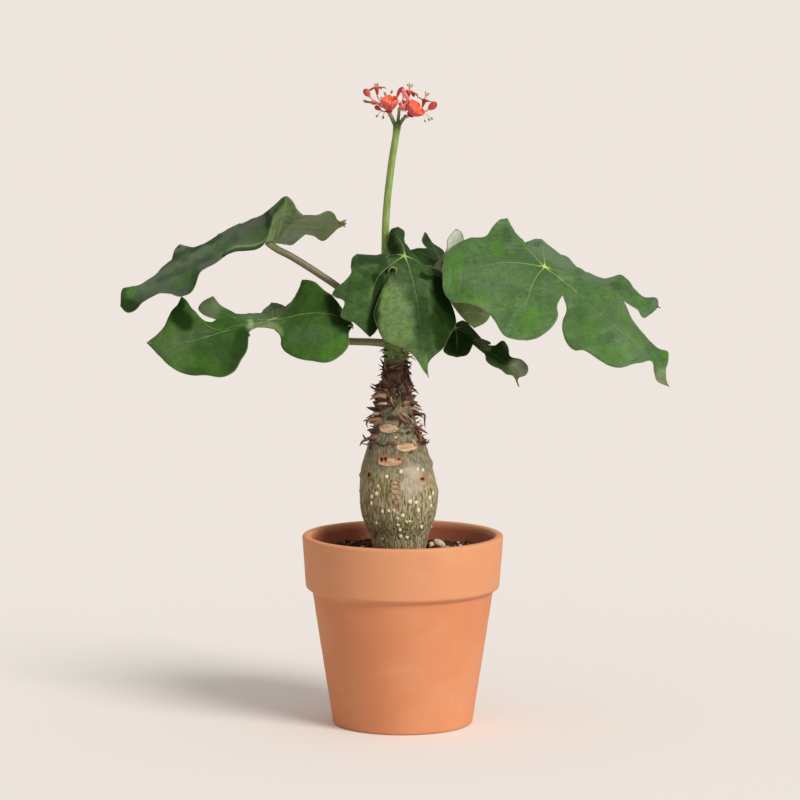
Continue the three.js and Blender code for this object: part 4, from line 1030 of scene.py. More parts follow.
def make_stipules():
    numbers = random.Random(21)
    flakes, around, on_tip = 96, 11, 14
    shape = Shape(MM)
    add_thorns(shape, THORNS, 0.0)
    add_thorns(shape, GREEN_THORNS, 0.8)
    flake_bands = ((204, 214), (217, 226), (227, 236), (237, 251), (238, 251), (250, 267))
    for index in range(flakes):
        level = numbers.uniform(*flake_bands[index % len(flake_bands)])
        angle = numbers.uniform(-math.pi, 0)
        if level < 236 and -2.3 < angle < -1.0:
            continue
        size, tone = numbers.uniform(3.4, 5.6), 0.85 * numbers.random() ** 1.3
        tone = tone * (1 - 0.6 * smooth_step(level, 246, 256))
        add_flake(shape, numbers, *trunk_side(level, angle, 0.8), size, tone)
    for ring, height in enumerate((209, 214, 220, 225, 231, 237, 243, 248, 254, 260, 265)):
        for index in range(around):
            angle = math.pi * (0.02 + 0.96 * (index + numbers.uniform(0.1, 0.9)) / around)
            level = height + numbers.uniform(-2, 2)
            place = trunk_side(level, angle, 0.4)
            size = numbers.uniform(4, 7) * (1 - 0.3 * smooth_step(level, 245, 260))
            dark = 0.5 * smooth_step(level, 238, 254)
            if (index + ring) % 3 == 1:
                add_scale(shape, numbers, *place, size, numbers.uniform(0.5, 1.0) - dark)
            else:
                add_stipule(shape, numbers, *place, size, max(numbers.uniform(0.1, 0.8) - dark, 0))
    for index in range(on_tip):
        height = TRUNK_TOP + 17 * (index + numbers.random()) / on_tip
        facing = heading(0.1 + (GOLDEN_ANGLE * index) % (math.pi - 0.2))
        root = np.array((TIP_MIDDLE, 0, height)) + facing * (np.interp(height, *zip(*TIP_FORM)) - 0.3)
        green = numbers.choice((0.0, 0.0, 0.75)) if height > 270 else 0.0
        add_stipule(shape, numbers, root, facing, numbers.uniform(2.4, 4.6), numbers.uniform(0.1, 0.5), green)
    shape.piece("stipules", stipule(), "bark")


def make_shoot_tip():
    fine = curve_at(TIP_FORM, np.linspace(0, 1, 42))
    profile = [(0, fine[0][0]), *((radius, height) for height, radius in fine), (0, fine[-1][0] + 0.6)]
    points, faces = lathed(profile, 72)
    bumps = 0.85 * rough(points, 0.0046, 3) + 0.25 * rough(points, 0.0018, 5)
    points = points + unit(points * (1, 1, 0)) * (bumps * MM)[:, None]
    points[:, 0] += TIP_MIDDLE * MM
    shape = Shape()
    shape.add(points, faces, level=points[:, 2] + 0.0022 * rough(points, 0.004, 9))
    numbers, young_leaves = random.Random(3), 9
    for index in range(young_leaves):
        facing = heading(GOLDEN_ANGLE * index + 0.4)
        root = np.array((TIP_MIDDLE, 0, 286.5)) + facing * numbers.uniform(3.5, 6)
        shares = np.linspace(0, 1, 9)
        way = root + np.outer(shares * numbers.uniform(4.5, 7.5), unit(facing * 0.5 + UP))
        radii = 1.15 * np.sin(np.pi * (0.12 + 0.86 * shares)) ** 0.8
        body, body_faces = tube(way - np.outer(shares ** 2 * 0.8, facing), radii, 12, 0.45, facing)
        shape.add(body * MM, body_faces, level=body[:, 2] * MM)
    shape.piece("growing_tip", young_stem(), "young_stem", "shoot_tip")


# Leaves: the hub; for each lobe its margin from notch to tip, its middle rib from near the hub to
# the tip and its margin from tip to notch; then the ways from the hub to the notches
LEAVES = {
    "right": ((104.5, 340.6, -25), [
        ([(41.4, 358.5, -22), (34, 353, -34), (30.4, 346, -42)],
         [(77.6, 343.8, -31), (55, 340, -41), (29.6, 336, -50)],
         [(29.7, 324.4, -53), (32.9, 318, -56), (37.7, 314.2, -58), (44.6, 314.4, -60), (55, 311.4, -63)]),
        ([(68, 301, -69), (71.2, 295, -71), (75.4, 289.7, -72), (84, 286.6, -73)],
         [(97, 330, -38), (91, 311, -57), (91, 297, -67), (92, 286.2, -72)],
         [(100, 288.4, -71), (107, 293, -68), (112.5, 299, -63), (114.8, 304.6, -59), (114.2, 312, -54)]),
        ([(121, 309, -52), (118.2, 301, -57), (118, 293, -62), (121.5, 283.6, -67), (127, 279, -69),
          (134, 278.7, -70), (145, 272, -72), (153, 267.3, -72), (161, 266, -71), (173, 269.4, -66),
          (184, 270.3, -60), (186, 262, -57), (188.4, 255.8, -54)],
         [(125, 325, -38), (145, 306, -53), (168, 287, -60), (186, 274, -56), (198, 251.3, -50)],
         [(194.6, 261, -48), (196.6, 271, -44), (196.4, 278.4, -41), (190, 280.8, -40), (182, 286.6, -37),
          (173.3, 296.6, -33), (166, 310, -29)]),
        ([(167, 312.6, -22), (173.8, 308.2, -19), (178, 303, -19), (183.4, 305.9, -14)],
         [(126.5, 334.4, -22), (140, 331, -15), (160, 325, -8), (189, 311, -6)],
         [(187.6, 317, -3), (178, 318.2, 0), (171, 324, 4), (166, 331, 8), (161, 335, 11), (150, 332, 12),
          (139, 335.2, 9)]),
        ([(123, 345.6, 8), (114, 352, 18)],
         [(104, 350, 2), (102, 361, 28)],
         [(96.7, 361, 26), (91.4, 359.5, 18)]),
        ([(83, 362, 4), (79.6, 369, 2)],
         [(94, 352, -14), (84, 364, -6), (76.7, 376.6, 0)],
         [(71, 375, -2), (66, 369.7, -5), (61, 363.4, -9)]),
    ], [[(86, 322, -49), (64.3, 305.7, -66)], [(118, 319.6, -47)], [(140, 326, -30), (161, 319.5, -27)],
        [(128.6, 339.8, -2)], [(88, 357.4, 9)], [(70, 352.6, -19), (50, 362.4, -13)]]),
    "front": ((1.5, 348.5, -40), [
        ([(-38.2, 336, -40), (-43, 330, -43), (-51, 323, -45), (-52, 320, -46), (-43, 314.7, -49),
          (-45.8, 304, -51), (-35.8, 299, -52), (-28.6, 292.7, -52)],
         [(-8, 342, -45), (-17, 335, -50), (-22, 323, -52), (-24, 308, -53), (-24.3, 288.4, -52)],
         [(-20, 293, -49), (-17, 303, -46), (-14, 318, -44)]),
        ([(-14, 327, -53), (-18, 317, -56), (-21.4, 305.4, -58), (-18.8, 296, -60), (-14, 286.4, -61),
          (-6, 282.6, -62), (3.4, 279, -63), (10.8, 271, -63), (15, 264, -63)],
         [(5.8, 336.6, -50), (9.4, 323, -58), (11.5, 310.7, -62), (14.4, 292, -65), (19.8, 258.2, -62)],
         [(19.2, 267, -60), (23, 274, -58), (30.5, 281, -54), (35.2, 290.6, -50), (39, 298.6, -46),
          (37.6, 309, -43), (33.4, 319, -39)]),
        ([(34, 322, -31)],
         [(12, 343, -40), (22, 336.4, -36), (39, 327, -30)],
         [(35, 334, -21), (26, 338.4, -18), (18.7, 340.8, -19)]),
        ([(4.4, 354, -14), (1.4, 361, -10), (1.2, 367, -8)],
         [(0, 356, -25), (-4, 364, -14), (-3, 371, -7)],
         [(-8.6, 368.4, -7), (-10.6, 362, -8), (-11.6, 356, -11)]),
        ([(-17, 349.6, -18), (-27, 350, -15)],
         [(-12, 348, -34), (-25, 347.6, -27), (-34, 350.4, -21)],
         [(-37.2, 346.6, -27)]),
    ], [[(-7.4, 337, -45)], [(16, 336, -43), (29, 326.6, -35)], [(12, 345.6, -22)], [(-10.6, 350.8, -18)],
        [(-20, 343.6, -39), (-38.4, 341.4, -34)]]),
    "left_upper": ((-94.5, 361, -4), [
        ([(-178, 339.6, 16), (-186, 332.2, 10), (-193, 327.6, 5), (-201, 326, -1), (-207, 324.4, -9)],
         [(-115, 361.4, -6), (-140, 352, -9), (-165, 338, -12), (-190, 322, -14), (-208.6, 311.6, -17)],
         [(-204, 307, -22), (-197, 309.4, -26), (-191, 315.4, -30), (-180, 320.6, -37), (-171, 321.4, -44),
          (-163, 319, -50), (-156, 321.4, -53), (-152, 329, -55), (-149, 336.6, -56), (-136, 343.8, -55),
          (-126, 351.6, -53), (-114, 355.4, -50)]),
        ([(-98.6, 363.4, -46), (-96.4, 371, -45), (-94.6, 379.6, -44), (-88.8, 386, -41)],
         [(-92, 367, -18), (-88.6, 377, -30), (-85.4, 392.8, -38)],
         [(-81, 389, -36), (-77.4, 382.6, -34)]),
        ([(-64, 378.8, -31), (-56, 382, -26), (-50.6, 380, -20), (-47.6, 375, -14)],
         [(-86, 368, -7), (-75, 371.5, -7), (-60, 373, -6), (-41.4, 372, -6)],
         [(-47, 368.6, 1), (-52.4, 364.4, 8), (-58.6, 360, 16), (-65, 362.8, 24)]),
        ([(-78, 359.4, 36), (-84.6, 356.4, 47)],
         [(-95, 359.6, 25), (-94, 359, 59)],
         [(-104, 367, 60), (-113, 372.6, 57)]),
        ([(-129, 367.4, 52), (-138, 361.8, 51), (-146, 357.4, 50), (-155, 354.4, 46)],
         [(-116, 367, 16), (-132, 363.6, 22), (-142, 359.6, 28), (-150, 355.4, 32), (-157, 354.4, 36),
          (-164.6, 357.4, 40)],
         [(-168, 353.4, 34)]),
    ], [[(-104.6, 357.4, -47)], [(-73, 378.4, -33)], [(-71.6, 364.2, 28)], [(-120, 373, 51)],
        [(-132, 357.4, 8), (-170.6, 345.4, 22)]]),
    "left_lower": ((-96, 301.7, -10), [
        ([(-176, 297, -20), (-181.6, 290.6, -21)],
         [(-115, 297.4, -19), (-137, 291.2, -27), (-152.3, 286.4, -30), (-175, 283.4, -26),
          (-189, 284.4, -19)],
         [(-183.6, 279.3, -21), (-174.6, 269, -31), (-165, 262.5, -37), (-155, 260, -42),
          (-146, 260.3, -45), (-134, 258.6, -49), (-125, 262.2, -48), (-119.4, 271, -43), (-115, 278, -39),
          (-114, 287, -32), (-113.2, 292.6, -27)]),
        ([(-99.4, 295, -24), (-92.6, 292.4, -28), (-90.2, 287.4, -34), (-90.4, 283.6, -38),
          (-87.6, 278.4, -43), (-78, 273, -51), (-67, 271, -56), (-57, 269.4, -58), (-47, 274, -57),
          (-40, 282, -53), (-39.6, 292, -48)],
         [(-84.5, 303.8, -19), (-65, 306.4, -32), (-50, 305, -40), (-36.4, 297, -43)],
         [(-40.5, 304, -37), (-46, 312, -31)]),
        ([(-58, 323.4, -22), (-64.6, 329.4, -15), (-70, 331, -10)],
         [(-85, 311, -9), (-77, 323, -8), (-74.8, 331.3, -6)],
         [(-76.4, 323.4, -3), (-80.6, 316.4, -1)]),
        ([(-90.6, 313.2, 24)],
         [(-96, 306.4, 16), (-96.4, 314, 44)],
         [(-101.6, 309.4, 42)]),
        ([(-112, 305.8, 30), (-119, 304.8, 23), (-127, 308.2, 11), (-133.2, 312, 6)],
         [(-112, 302, -2), (-124, 303, -2), (-137, 309, 0), (-140, 319.2, 4)],
         [(-147.4, 315, 2), (-151, 309.6, -3), (-147, 305.2, -7)]),
        ([(-141.4, 299.9, -10), (-148, 300.6, -13), (-154.6, 308.4, -12), (-159.4, 315, -11)],
         [(-120, 297.6, -16), (-139, 294.4, -22), (-154, 306.6, -17), (-163.4, 318.6, -10)],
         [(-166, 313, -13), (-170.6, 308.2, -16)]),
    ], [[(-108.6, 296.2, -24)], [(-74, 315, -18), (-52, 319.6, -27)], [(-86.6, 311.4, 2)],
        [(-105, 306.4, 36)], [(-118, 299.6, -10), (-137.6, 301.6, -8)],
        [(-148, 290.6, -27), (-173.4, 303, -19)]]),
    "right_lower": ((38.5, 295.5, -6), [
        ([(34, 290, -11), (31.4, 283, -17), (30, 278.4, -21), (33.4, 275.2, -24)],
         [(39.4, 288, -14), (40.4, 280, -20), (40, 273.3, -25)],
         [(47, 275.6, -25), (50.8, 280.6, -21)]),
        ([(57.6, 278, -17), (60.8, 275, -19), (61.4, 271, -22), (66, 266.6, -25), (72, 264, -26),
          (77, 261, -26), (82.8, 260.4, -26)],
         [(48, 291, -10), (57, 284.4, -13), (68, 275, -16), (79, 267, -20), (86.6, 251.6, -22)],
         [(86, 257.6, -18), (91.4, 260.6, -14), (93, 267, -10), (88, 272, -8), (79.4, 274.6, -8),
          (77.6, 281.6, -8), (74.4, 285.6, -6), (69, 282.8, -5)]),
        ([(65, 283.6, 6)],
         [(48, 293, 8), (58, 287, 32)],
         [(53, 293.4, 34)]),
        ([(44, 300.8, 33)],
         [(39, 297, 8), (36, 298, 32)],
         [(32.6, 296.6, 18)]),
    ], [[(52, 283, -17)], [(62.6, 282.6, -6)], [(48.4, 299.4, 33)], [(35, 295.2, -5)]]),
    "back": ((30, 345, 38), [
        ([(12, 354.4, 31)],
         [(18, 349, 31), (5, 352.8, 24)],
         [(7, 348, 18), (12, 343.6, 14)]),
        ([(31.8, 353, 9), (33.4, 361, 9)],
         [(35, 350, 24), (38.4, 361, 14), (39, 368.9, 12)],
         [(43.6, 366, 14), (46, 357, 17)]),
        ([(62, 340, 34), (78, 328, 46)],
         [(52, 344, 50), (74, 335, 60), (92, 322, 62)],
         [(88, 336, 74), (74, 345, 80)]),
        ([(65, 326, 92), (65, 308, 95), (61.6, 300, 94)],
         [(41, 342, 58), (50, 322, 82), (53, 294.8, 92)],
         [(46, 301, 89), (37, 312, 86), (30, 326, 84)]),
        ([(10, 328, 92)],
         [(14, 344, 58), (2, 337, 74), (-8, 326, 84)],
         [(-6, 338, 74), (8, 346, 64)]),
        ([(24, 356.6, 53)],
         [(26, 352, 43), (21, 359, 48), (15.8, 365.8, 51)],
         [(14, 360, 46)]),
    ], [[(22, 341, 14)], [(50, 349, 21)], [(60, 346, 78)], [(22, 338, 80)], [(30, 352.4, 54)],
        [(17.6, 355, 38)]]),
}

# Each leaf's steps along and across half a lobe, its side veins, how dark it is as a whole, how
# clearly its ribs show, its mottling, and where its stalk bends under the hub and ends beside it
LEAF_FORMS = {
    "right": (88, 20, 11, 0, 0.9, 0.16, 11, (0, 0, 0)),
    "front": (88, 20, 9, 0.12, 0.6, 0.32, 11, (0, 0, 0)),
    "left_upper": (76, 18, 9, 0.68, 0.6, 0.25, 2, (-5, 0, -1.6)),
    "left_lower": (76, 18, 9, 0.45, 2.4, 0.22, 11, (0, 0, 0)),
    "right_lower": (64, 16, 8, 0.1, 0.5, 0.2, 11, (0, 0, 0)),
    "back": (64, 16, 9, 0.62, 0.35, 0.2, 11, (0, 0, 0)),
}


def edge_line(hub, notch, margin, tip, notch_step, steps):
    inner = curve_evenly([hub, *notch], notch_step)
    outer = curve_at([notch[-1], *margin, tip], np.linspace(0, 1, steps - notch_step + 1))
    return np.concatenate([inner, outer[1:]])


def eased(start, end, leaving, arriving, share):
    """Points between start and end on curves that leave and arrive in the given directions."""
    chord = np.linalg.norm(end - start, axis=-1, keepdims=True)
    s2, s3 = share ** 2, share ** 3
    return ((2 * s3 - 3 * s2 + 1) * start + (3 * s2 - 2 * s3) * end
            + (s3 - 2 * s2 + share) * unit(leaving) * chord + (s3 - s2) * unit(arriving) * chord)


class Blade:
    """A leaf's middle surface, with what its look needs to know at each point."""

    def __init__(self, leaf, along, across, side_veins):
        self.along, self.across, self.side_veins = along, across, side_veins
        hub, lobes, notches = leaf
        self.hub = seen(hub)
        befores, ribs, afters = ([[seen(p) for p in way] for way in ways] for ways in zip(*lobes))
        self.notches = [[seen(p) for p in notch] for notch in notches]
        self.margins = [(before, after[::-1]) for before, after in zip(befores, afters)]
        self.tips = [rib[-1] for rib in ribs]
        self.reach = [self.notch_reach(n) for n in range(len(ribs))]
        self.ribs = [curve_evenly([self.hub, *rib], along) for rib in ribs]
        self.edges = [[edge_line(self.hub, self.notches[n], margin, self.tips[k], self.reach[n], along)
                       for n, margin in zip((k - 1, k), margins)] for k, margins in enumerate(self.margins)]
        self.index, self.rows, self.faces = {}, [], []
        for lobe in range(len(ribs)):
            for half in (0, 1):
                self.add_half(lobe, half)
        columns = np.array(self.rows)
        self.points = columns[:, :3]
        self.rib, self.share, self.phase, self.strength, self.on_margin = columns[:, 3:].T
        self.flatten_hub()
        self.normals = point_normals(self.points, self.faces)

    def notch_reach(self, n):
        """How many of a margin's steps lie on the way from the hub to notch n."""
        following = (n + 1) % len(self.tips)
        inner = length_of([self.hub, *self.notches[n]])
        left = length_of([self.notches[n][-1], *self.margins[n][1], self.tips[n]])
        right = length_of([self.notches[n][-1], *self.margins[following][0], self.tips[following]])
        share = inner / (inner + (left + right) / 2)
        return min(self.along - 2, max(1, round(self.along * share)))

    def add_half(self, lobe, half):
        along, across = self.along, self.across
        neighbour = (lobe + (1 if half else -1)) % len(self.tips)
        notch = lobe if half else neighbour
        reach = self.reach[notch]
        rib, edge, other = self.ribs[lobe], self.edges[lobe][half], self.edges[lobe][1 - half]
        closeness = np.clip((reach + 1 - np.arange(along + 1)) / (0.4 * reach + 1), 0, 1)[:, None]
        arriving = unit(edge - rib) * (1 - closeness) + unit(self.ribs[neighbour] - rib) * closeness
        shares = np.linspace(0, 1, across + 1) ** 1.3
        grid = [eased(rib, edge, unit(edge - other), arriving, share) for share in shares]
        widths = np.linalg.norm(edge - rib, axis=1) / MM
        numbers = np.zeros((along + 1, across + 1), int)
        for i in range(along + 1):
            for j in range(across + 1):
                key = self.key(lobe, half, notch, reach, i, j)
                if key not in self.index:
                    self.index[key] = len(self.rows)
                    share, u = shares[j], i / along
                    strength = smooth_step(u, 0.02, 0.16) * (1 - 0.5 * smooth_step(share, 0.6, 1))
                    if i <= reach:
                        strength *= 1 - smooth_step(share, 0.6, 1)
                    phase = self.side_veins * (u ** 0.9 + 0.05 * share) + 0.25 * math.sin(5 * u + lobe)
                    on_margin = float(j == across and i > reach or i == along)
                    self.rows.append((*grid[j][i], share * widths[i], u, phase, strength, on_margin))
                numbers[i, j] = self.index[key]
        for i in range(along):
            for j in range(across):
                face = [numbers[i, j], numbers[i + 1, j], numbers[i + 1, j + 1], numbers[i, j + 1]]
                if not half:
                    face.reverse()
                face = [int(corner) for k, corner in enumerate(face) if corner != face[k - 1]]
                if len(face) > 2:
                    self.faces.append(face)

    def key(self, lobe, half, notch, reach, i, j):
        if i == 0:
            return "hub"
        if i == self.along:
            return ("tip", lobe)
        if j == 0:
            return ("rib", lobe, i)
        if j == self.across and i <= reach:
            return ("notch", notch, i)
        return (lobe, half, i, j)

    def flatten_hub(self):
        """The blade lies flat around the end of its stalk."""
        normal = point_normals(self.points, self.faces)[0]
        away = self.points - self.points[0]
        share = np.exp(-(np.linalg.norm(away, axis=1) / (10 * MM)) ** 2)
        self.points -= np.outer(share * (away @ normal), normal)

    def margin_distance(self):
        rim = [point for point, on_rim in zip(self.points, self.on_margin) if on_rim]
        tree = kdtree.KDTree(len(rim))
        for index, point in enumerate(rim):
            tree.insert(point, index)
        tree.balance()
        return np.array([tree.find(point)[2] for point in self.points]) / MM


# Strokes of colour on the leaves: how strong, how wide, and from where to where as seen in front.
# "dark" strokes are painted shade and shadow where leaves lie under others, with some of the
# leaves' own darker patches; "light" strokes are painted light and highlights, and the sheen
# strokes a painted bluish sheen.
# "under" is where a margin has rolled over and shows its underside.
TINTS = {
    "right": {
        "lime": [(0.6, 7, (38.9, 345), (35, 328)), (0.6, 6, (69.5, 353), (69.5, 353)),
            (0.6, 9, (92, 297), (96, 304)), (0.5, 8, (135, 297), (140, 292)),
            (0.6, 8, (161, 277), (150, 276)), (0.7, 4, (196.5, 275), (194, 277)),
            (0.4, 6, (60, 318), (45, 318)), (0.5, 5, (66, 363), (68, 358))],
        "grey": [(1.0, 8, (100, 356), (124, 345)), (0.3, 12, (56, 332), (78, 334)),
            (0.35, 6, (107, 326), (112, 322)), (0.6, 5, (136, 334), (153, 333)),
            (0.4, 6, (175, 304), (164, 313)), (0.4, 4, (76, 362), (80, 354))],
        "dark": [(0.2, 4, (81, 317), (76, 297)), (0.14, 5, (134, 303), (132, 298)),
            (0.16, 3, (153, 290), (150, 281)), (0.12, 3, (169, 281), (170, 279)),
            (0.28, 5, (127, 281), (119, 286)), (0.4, 4, (77, 361), (76, 366)),
            (0.35, 3, (154, 327), (158, 325)), (0.4, 3, (100, 357), (98, 357)),
            (0.3, 5, (195, 258), (199, 250))],
        "light": [(0.09, 20, (136, 292), (166, 295)), (0.08, 9, (66, 312), (90, 310)),
            (0.25, 5, (50, 312), (62, 310)), (0.1, 7, (192, 264), (198, 250))],
        "under": [(0.95, 8, (193, 258), (199, 248)), (0.5, 2.5, (116, 333), (124, 331))],
    },
    "front": {
        "light": [(0.6, 14, (-10, 318), (-4, 292)), (0.3, 7, (10, 280), (15, 266))],
        "grey": [(0.6, 6, (-3, 335), (1, 322)), (0.5, 5, (12, 328), (22, 326)),
            (0.8, 4, (-4, 366), (0, 353)), (0.7, 4, (-18, 331), (-21, 321)),
            (0.35, 6, (-3, 300), (4, 312))],
        "dark": [(0.95, 8, (33, 326), (36, 298)), (0.75, 8, (22, 346), (31, 322)),
            (0.96, 8, (26, 326), (30, 302)), (0.85, 8, (25, 302), (30, 285)),
            (0.66, 7.5, (14, 314), (16, 294)), (0.45, 8, (9, 322), (12, 325)),
            (0.5, 7, (15, 291), (17, 281)), (0.6, 5, (-15, 341), (-15, 330)), (0.3, 7, (-9, 337), (0, 331)),
            (0.5, 5.5, (8, 343), (8, 331)), (0.25, 6, (14, 334), (15, 331)),
            (0.4, 4, (-37, 342), (-33, 346)), (0.3, 6, (18, 280), (22, 270)),
            (0.1, 16, (-38, 326), (-32, 300)), (0.7, 8, (-6, 368), (0, 352)), (0.5, 6, (2, 346), (16, 340)),
            (0.95, 3, (14, 334), (29, 330)), (0.5, 4, (-2, 345), (6, 343)),
            (0.85, 5, (-10, 361), (-6, 352)), (0.9, 4.5, (-17.5, 333), (-22.5, 292)),
            (0.6, 4, (-31, 346), (-15, 346)), (1.0, 3, (-12, 338), (-9, 338)),
            (0.5, 8, (14, 340), (26, 338)), (0.35, 5, (-38, 327), (-28, 328)),
            (0.6, 3, (-19, 296), (-20, 306))],
        "lime": [(0.5, 5, (-34, 333), (-32, 330)), (0.5, 5, (3, 289), (-3, 296)),
            (0.5, 4, (-12, 322), (-14, 314))],
    },
    "left_upper": {
        "grey": [(0.4, 5, (-158, 343), (-190, 326)), (0.5, 5, (-120, 370), (-108, 374)),
            (0.4, 4, (-146, 354), (-150, 350)), (0.6, 4, (-164, 352), (-158, 350)),
            (0.4, 3, (-125, 366), (-132, 358))],
        "lime": [(0.7, 7, (-161, 330), (-156, 336)), (0.5, 5, (-141, 354), (-138, 354)),
            (0.7, 7, (-203, 322), (-202, 322)), (0.25, 16, (-84, 378), (-54, 372)),
            (0.6, 5, (-112, 360), (-101, 366)), (0.4, 4, (-172, 336), (-166, 330)),
            (0.4, 5, (-128, 356), (-134, 350))],
        "dark": [(0.6, 7, (-204, 312), (-199, 310)), (0.5, 3, (-206, 330), (-206, 316)),
            (0.6, 3, (-98, 370), (-99, 380)), (0.35, 4, (-175, 345), (-160, 348)),
            (0.4, 3, (-128, 371), (-112, 378)), (0.4, 4, (-152, 330), (-153, 338)),
            (0.5, 3, (-80, 388), (-81, 382)), (0.5, 2.5, (-136, 362), (-170, 347)),
            (0.35, 2.5, (-140, 348), (-180, 330)), (0.3, 3, (-122, 362), (-136, 352)),
            (0.4, 1, (-90, 374), (-62, 372)), (0.35, 1, (-91, 369), (-56, 367.5)),
            (0.35, 1, (-90, 378), (-76, 377)), (0.2, 4, (-93, 361), (-92, 366)),
            (0.5, 4.5, (-93, 371), (-91, 380)), (0.4, 4, (-88, 381), (-85, 388))],
        "light": [(0.12, 16, (-80, 376), (-54, 372))],
    },
    "left_lower": {
        "dark": [(0.3, 26, (-138, 288), (-130, 270)), (0.4, 11, (-133, 282), (-128, 266)),
            (0.85, 7, (-168, 307), (-160, 299)), (0.8, 5, (-164, 313), (-169, 306)),
            (0.6, 8, (-118, 290), (-123, 268)), (0.85, 6, (-53, 317), (-49, 300)),
            (0.9, 5, (-46, 298), (-41, 295)), (0.3, 4, (-95, 312), (-88, 313)),
            (0.4, 5, (-130, 280), (-128, 268)), (0.3, 3, (-75, 328), (-79, 320)),
            (0.1, 12, (-58, 283), (-46, 288)), (0.4, 5, (-145, 263), (-158, 263))],
        "lime": [(0.4, 90, (-140, 290), (-60, 290)), (0.8, 8, (-151, 272), (-141, 266)),
            (0.7, 6, (-140, 298), (-118, 300)), (0.6, 4, (-186, 284), (-184, 284)),
            (0.5, 5, (-173, 272), (-172, 272)), (0.5, 7, (-68, 322), (-62, 313)),
            (0.9, 7, (-56, 277), (-46, 284)), (0.5, 6, (-72, 276), (-68, 276)),
            (0.5, 5, (-90, 302), (-70, 303))],
        "grey": [(0.8, 8, (-142, 311), (-141, 313)), (0.5, 7, (-166, 287), (-149, 290)),
            (0.4, 7, (-80, 291), (-62, 291)), (0.4, 5, (-178, 281), (-170, 277))],
        "light": [(0.14, 15, (-176, 283), (-166, 268)), (0.5, 3, (-111.8, 300), (-111.8, 296)),
            (0.14, 9, (-112, 302), (-92, 304))],
        "under": [(1.0, 8, (-142, 311), (-141, 313)), (1.0, 3.4, (-112, 299.5), (-112, 296)),
            (0.8, 3, (-107, 297), (-99, 297)), (1.0, 3.4, (-98, 297), (-91.5, 292))],
    },
    "right_lower": {
        "dark": [(0.86, 16, (42, 287), (58, 288)), (0.86, 9, (62, 284), (74, 274)),
            (0.5, 1.5, (78, 270), (84, 263))],
        "light": [(0.3, 6, (86, 266), (89, 262))],
        "grey": [(0.35, 4, (52, 292), (58, 290))],
        "under": [(1, 7, (85, 266), (89, 262)), (0.8, 3.5, (56, 285), (62, 281))],
    },
    "back": {
        "dark": [(0.68, 10, (19, 356), (26, 345)), (0.76, 8, (10, 352), (18, 344)),
            (0.6, 6, (38, 312), (42, 300)), (0.25, 12, (46, 306), (60, 304))],
        "grey": [(0.5, 5, (21, 355), (26, 346))],
        "lime": [(0.5, 4, (15, 348), (16, 345)), (0.2, 16, (44, 308), (62, 300))],
        "light": [(1.0, 9, (37, 364), (39, 358))],
    },
}


def tint_strengths(points, strokes, seed):
    drift = np.stack([rough(points, 0.007, seed), rough(points, 0.006, seed + 4)], axis=1)
    spots = as_seen(points) + 2.2 * drift
    strengths = np.zeros(len(points))
    for strength, width, start, end in strokes:
        start = np.array(start, float)
        run = np.array(end, float) - start
        share = np.clip((spots - start) @ run / max(run @ run, 1e-9), 0, 1)
        distance = np.linalg.norm(spots - start - share[:, None] * run, axis=1)
        strengths = np.maximum(strengths, strength * smooth_step(distance, 1.3 * width, 0.45 * width))
    return strengths


# Dry, curled ends of lobes: where each starts, its way from there, its radius, tone and greenness
DRY_TIPS = {
    "right": [((188.3, 312), [(0, 0), (0.6, -1), (1.4, -1.4), (2, -0.6)], 0.6, 0.4, 0),
              ((153.4, 326), [(0, 0), (1, -1.2), (1.4, -2.6)], 0.5, 0.8, 0.4)],
    "left_upper": [((-46.6, 373), [(0, 0), (2.2, 0.9), (4.2, 1.9), (5.4, 2.5)], 1.5, 0.5, 0.7),
                   ((-46.6, 373), [(0, 0), (2.4, 0), (4, 0), (5.2, 0.2)], 1.7, 0.45, 0.75),
                   ((-46.4, 372.6), [(0, 0), (2.2, -1), (3.8, -2), (4.4, -2.8)], 1.3, 0.45, 0.7),
                   ((-164, 354.8), [(0, 0), (-0.8, 1), (-2, 0.8), (-1.8, -0.4)], 0.7, 0.2, 0.2)],
    "left_lower": [((-186.2, 284), [(0, 0), (-1.4, 0.6), (-2.2, 0)], 0.9, 0.6, 0.3),
                   ((-113.4, 291.4), [(0, 0), (0.4, -1.4), (-0.2, -2.6)], 0.8, 0.1, 0),
                   ((-40, 297), [(0, 0), (2, 0.4), (3.4, -1), (3, -2.4)], 0.9, 0.75, 0.3)],
    "right_lower": [((84.4, 257), [(0, 0), (0.8, -2.6), (1.4, -4.6)], 0.8, 0.35, 0.2)],
    "front": [((-10.4, 336.4), [(0, 0), (0.6, 2.4), (2.8, 4), (5.4, 3.2), (6, 0.6), (4, -1.4)],
               0.8, 0.6, 0.62)],
    "back": [((17.4, 364), [(0, 0), (1.6, -1.8), (1.4, -4.4), (-0.4, -5)], 0.6, 0.1, 0.2)],
}


def add_dry_tips(shape, name, points):
    spots = as_seen(points)
    for start, way, radius, tone, green in DRY_TIPS[name]:
        root = points[np.argmin(np.linalg.norm(spots - start, axis=1))]
        offsets = np.array([(across, -0.6 - 0.3 * step, up) for step, (across, up) in enumerate(way)])
        shares = np.linspace(0, 1, 15)
        radii = (radius * (1 - shares ** 2) ** 0.6 + 0.12) * MM
        shape.add_tube(curve_evenly(root + offsets * MM, 14), radii, 9, 0.6, None, (0.15 * MM, 0.0014, 70),
                       tone=tone, tip=shares, green=green)


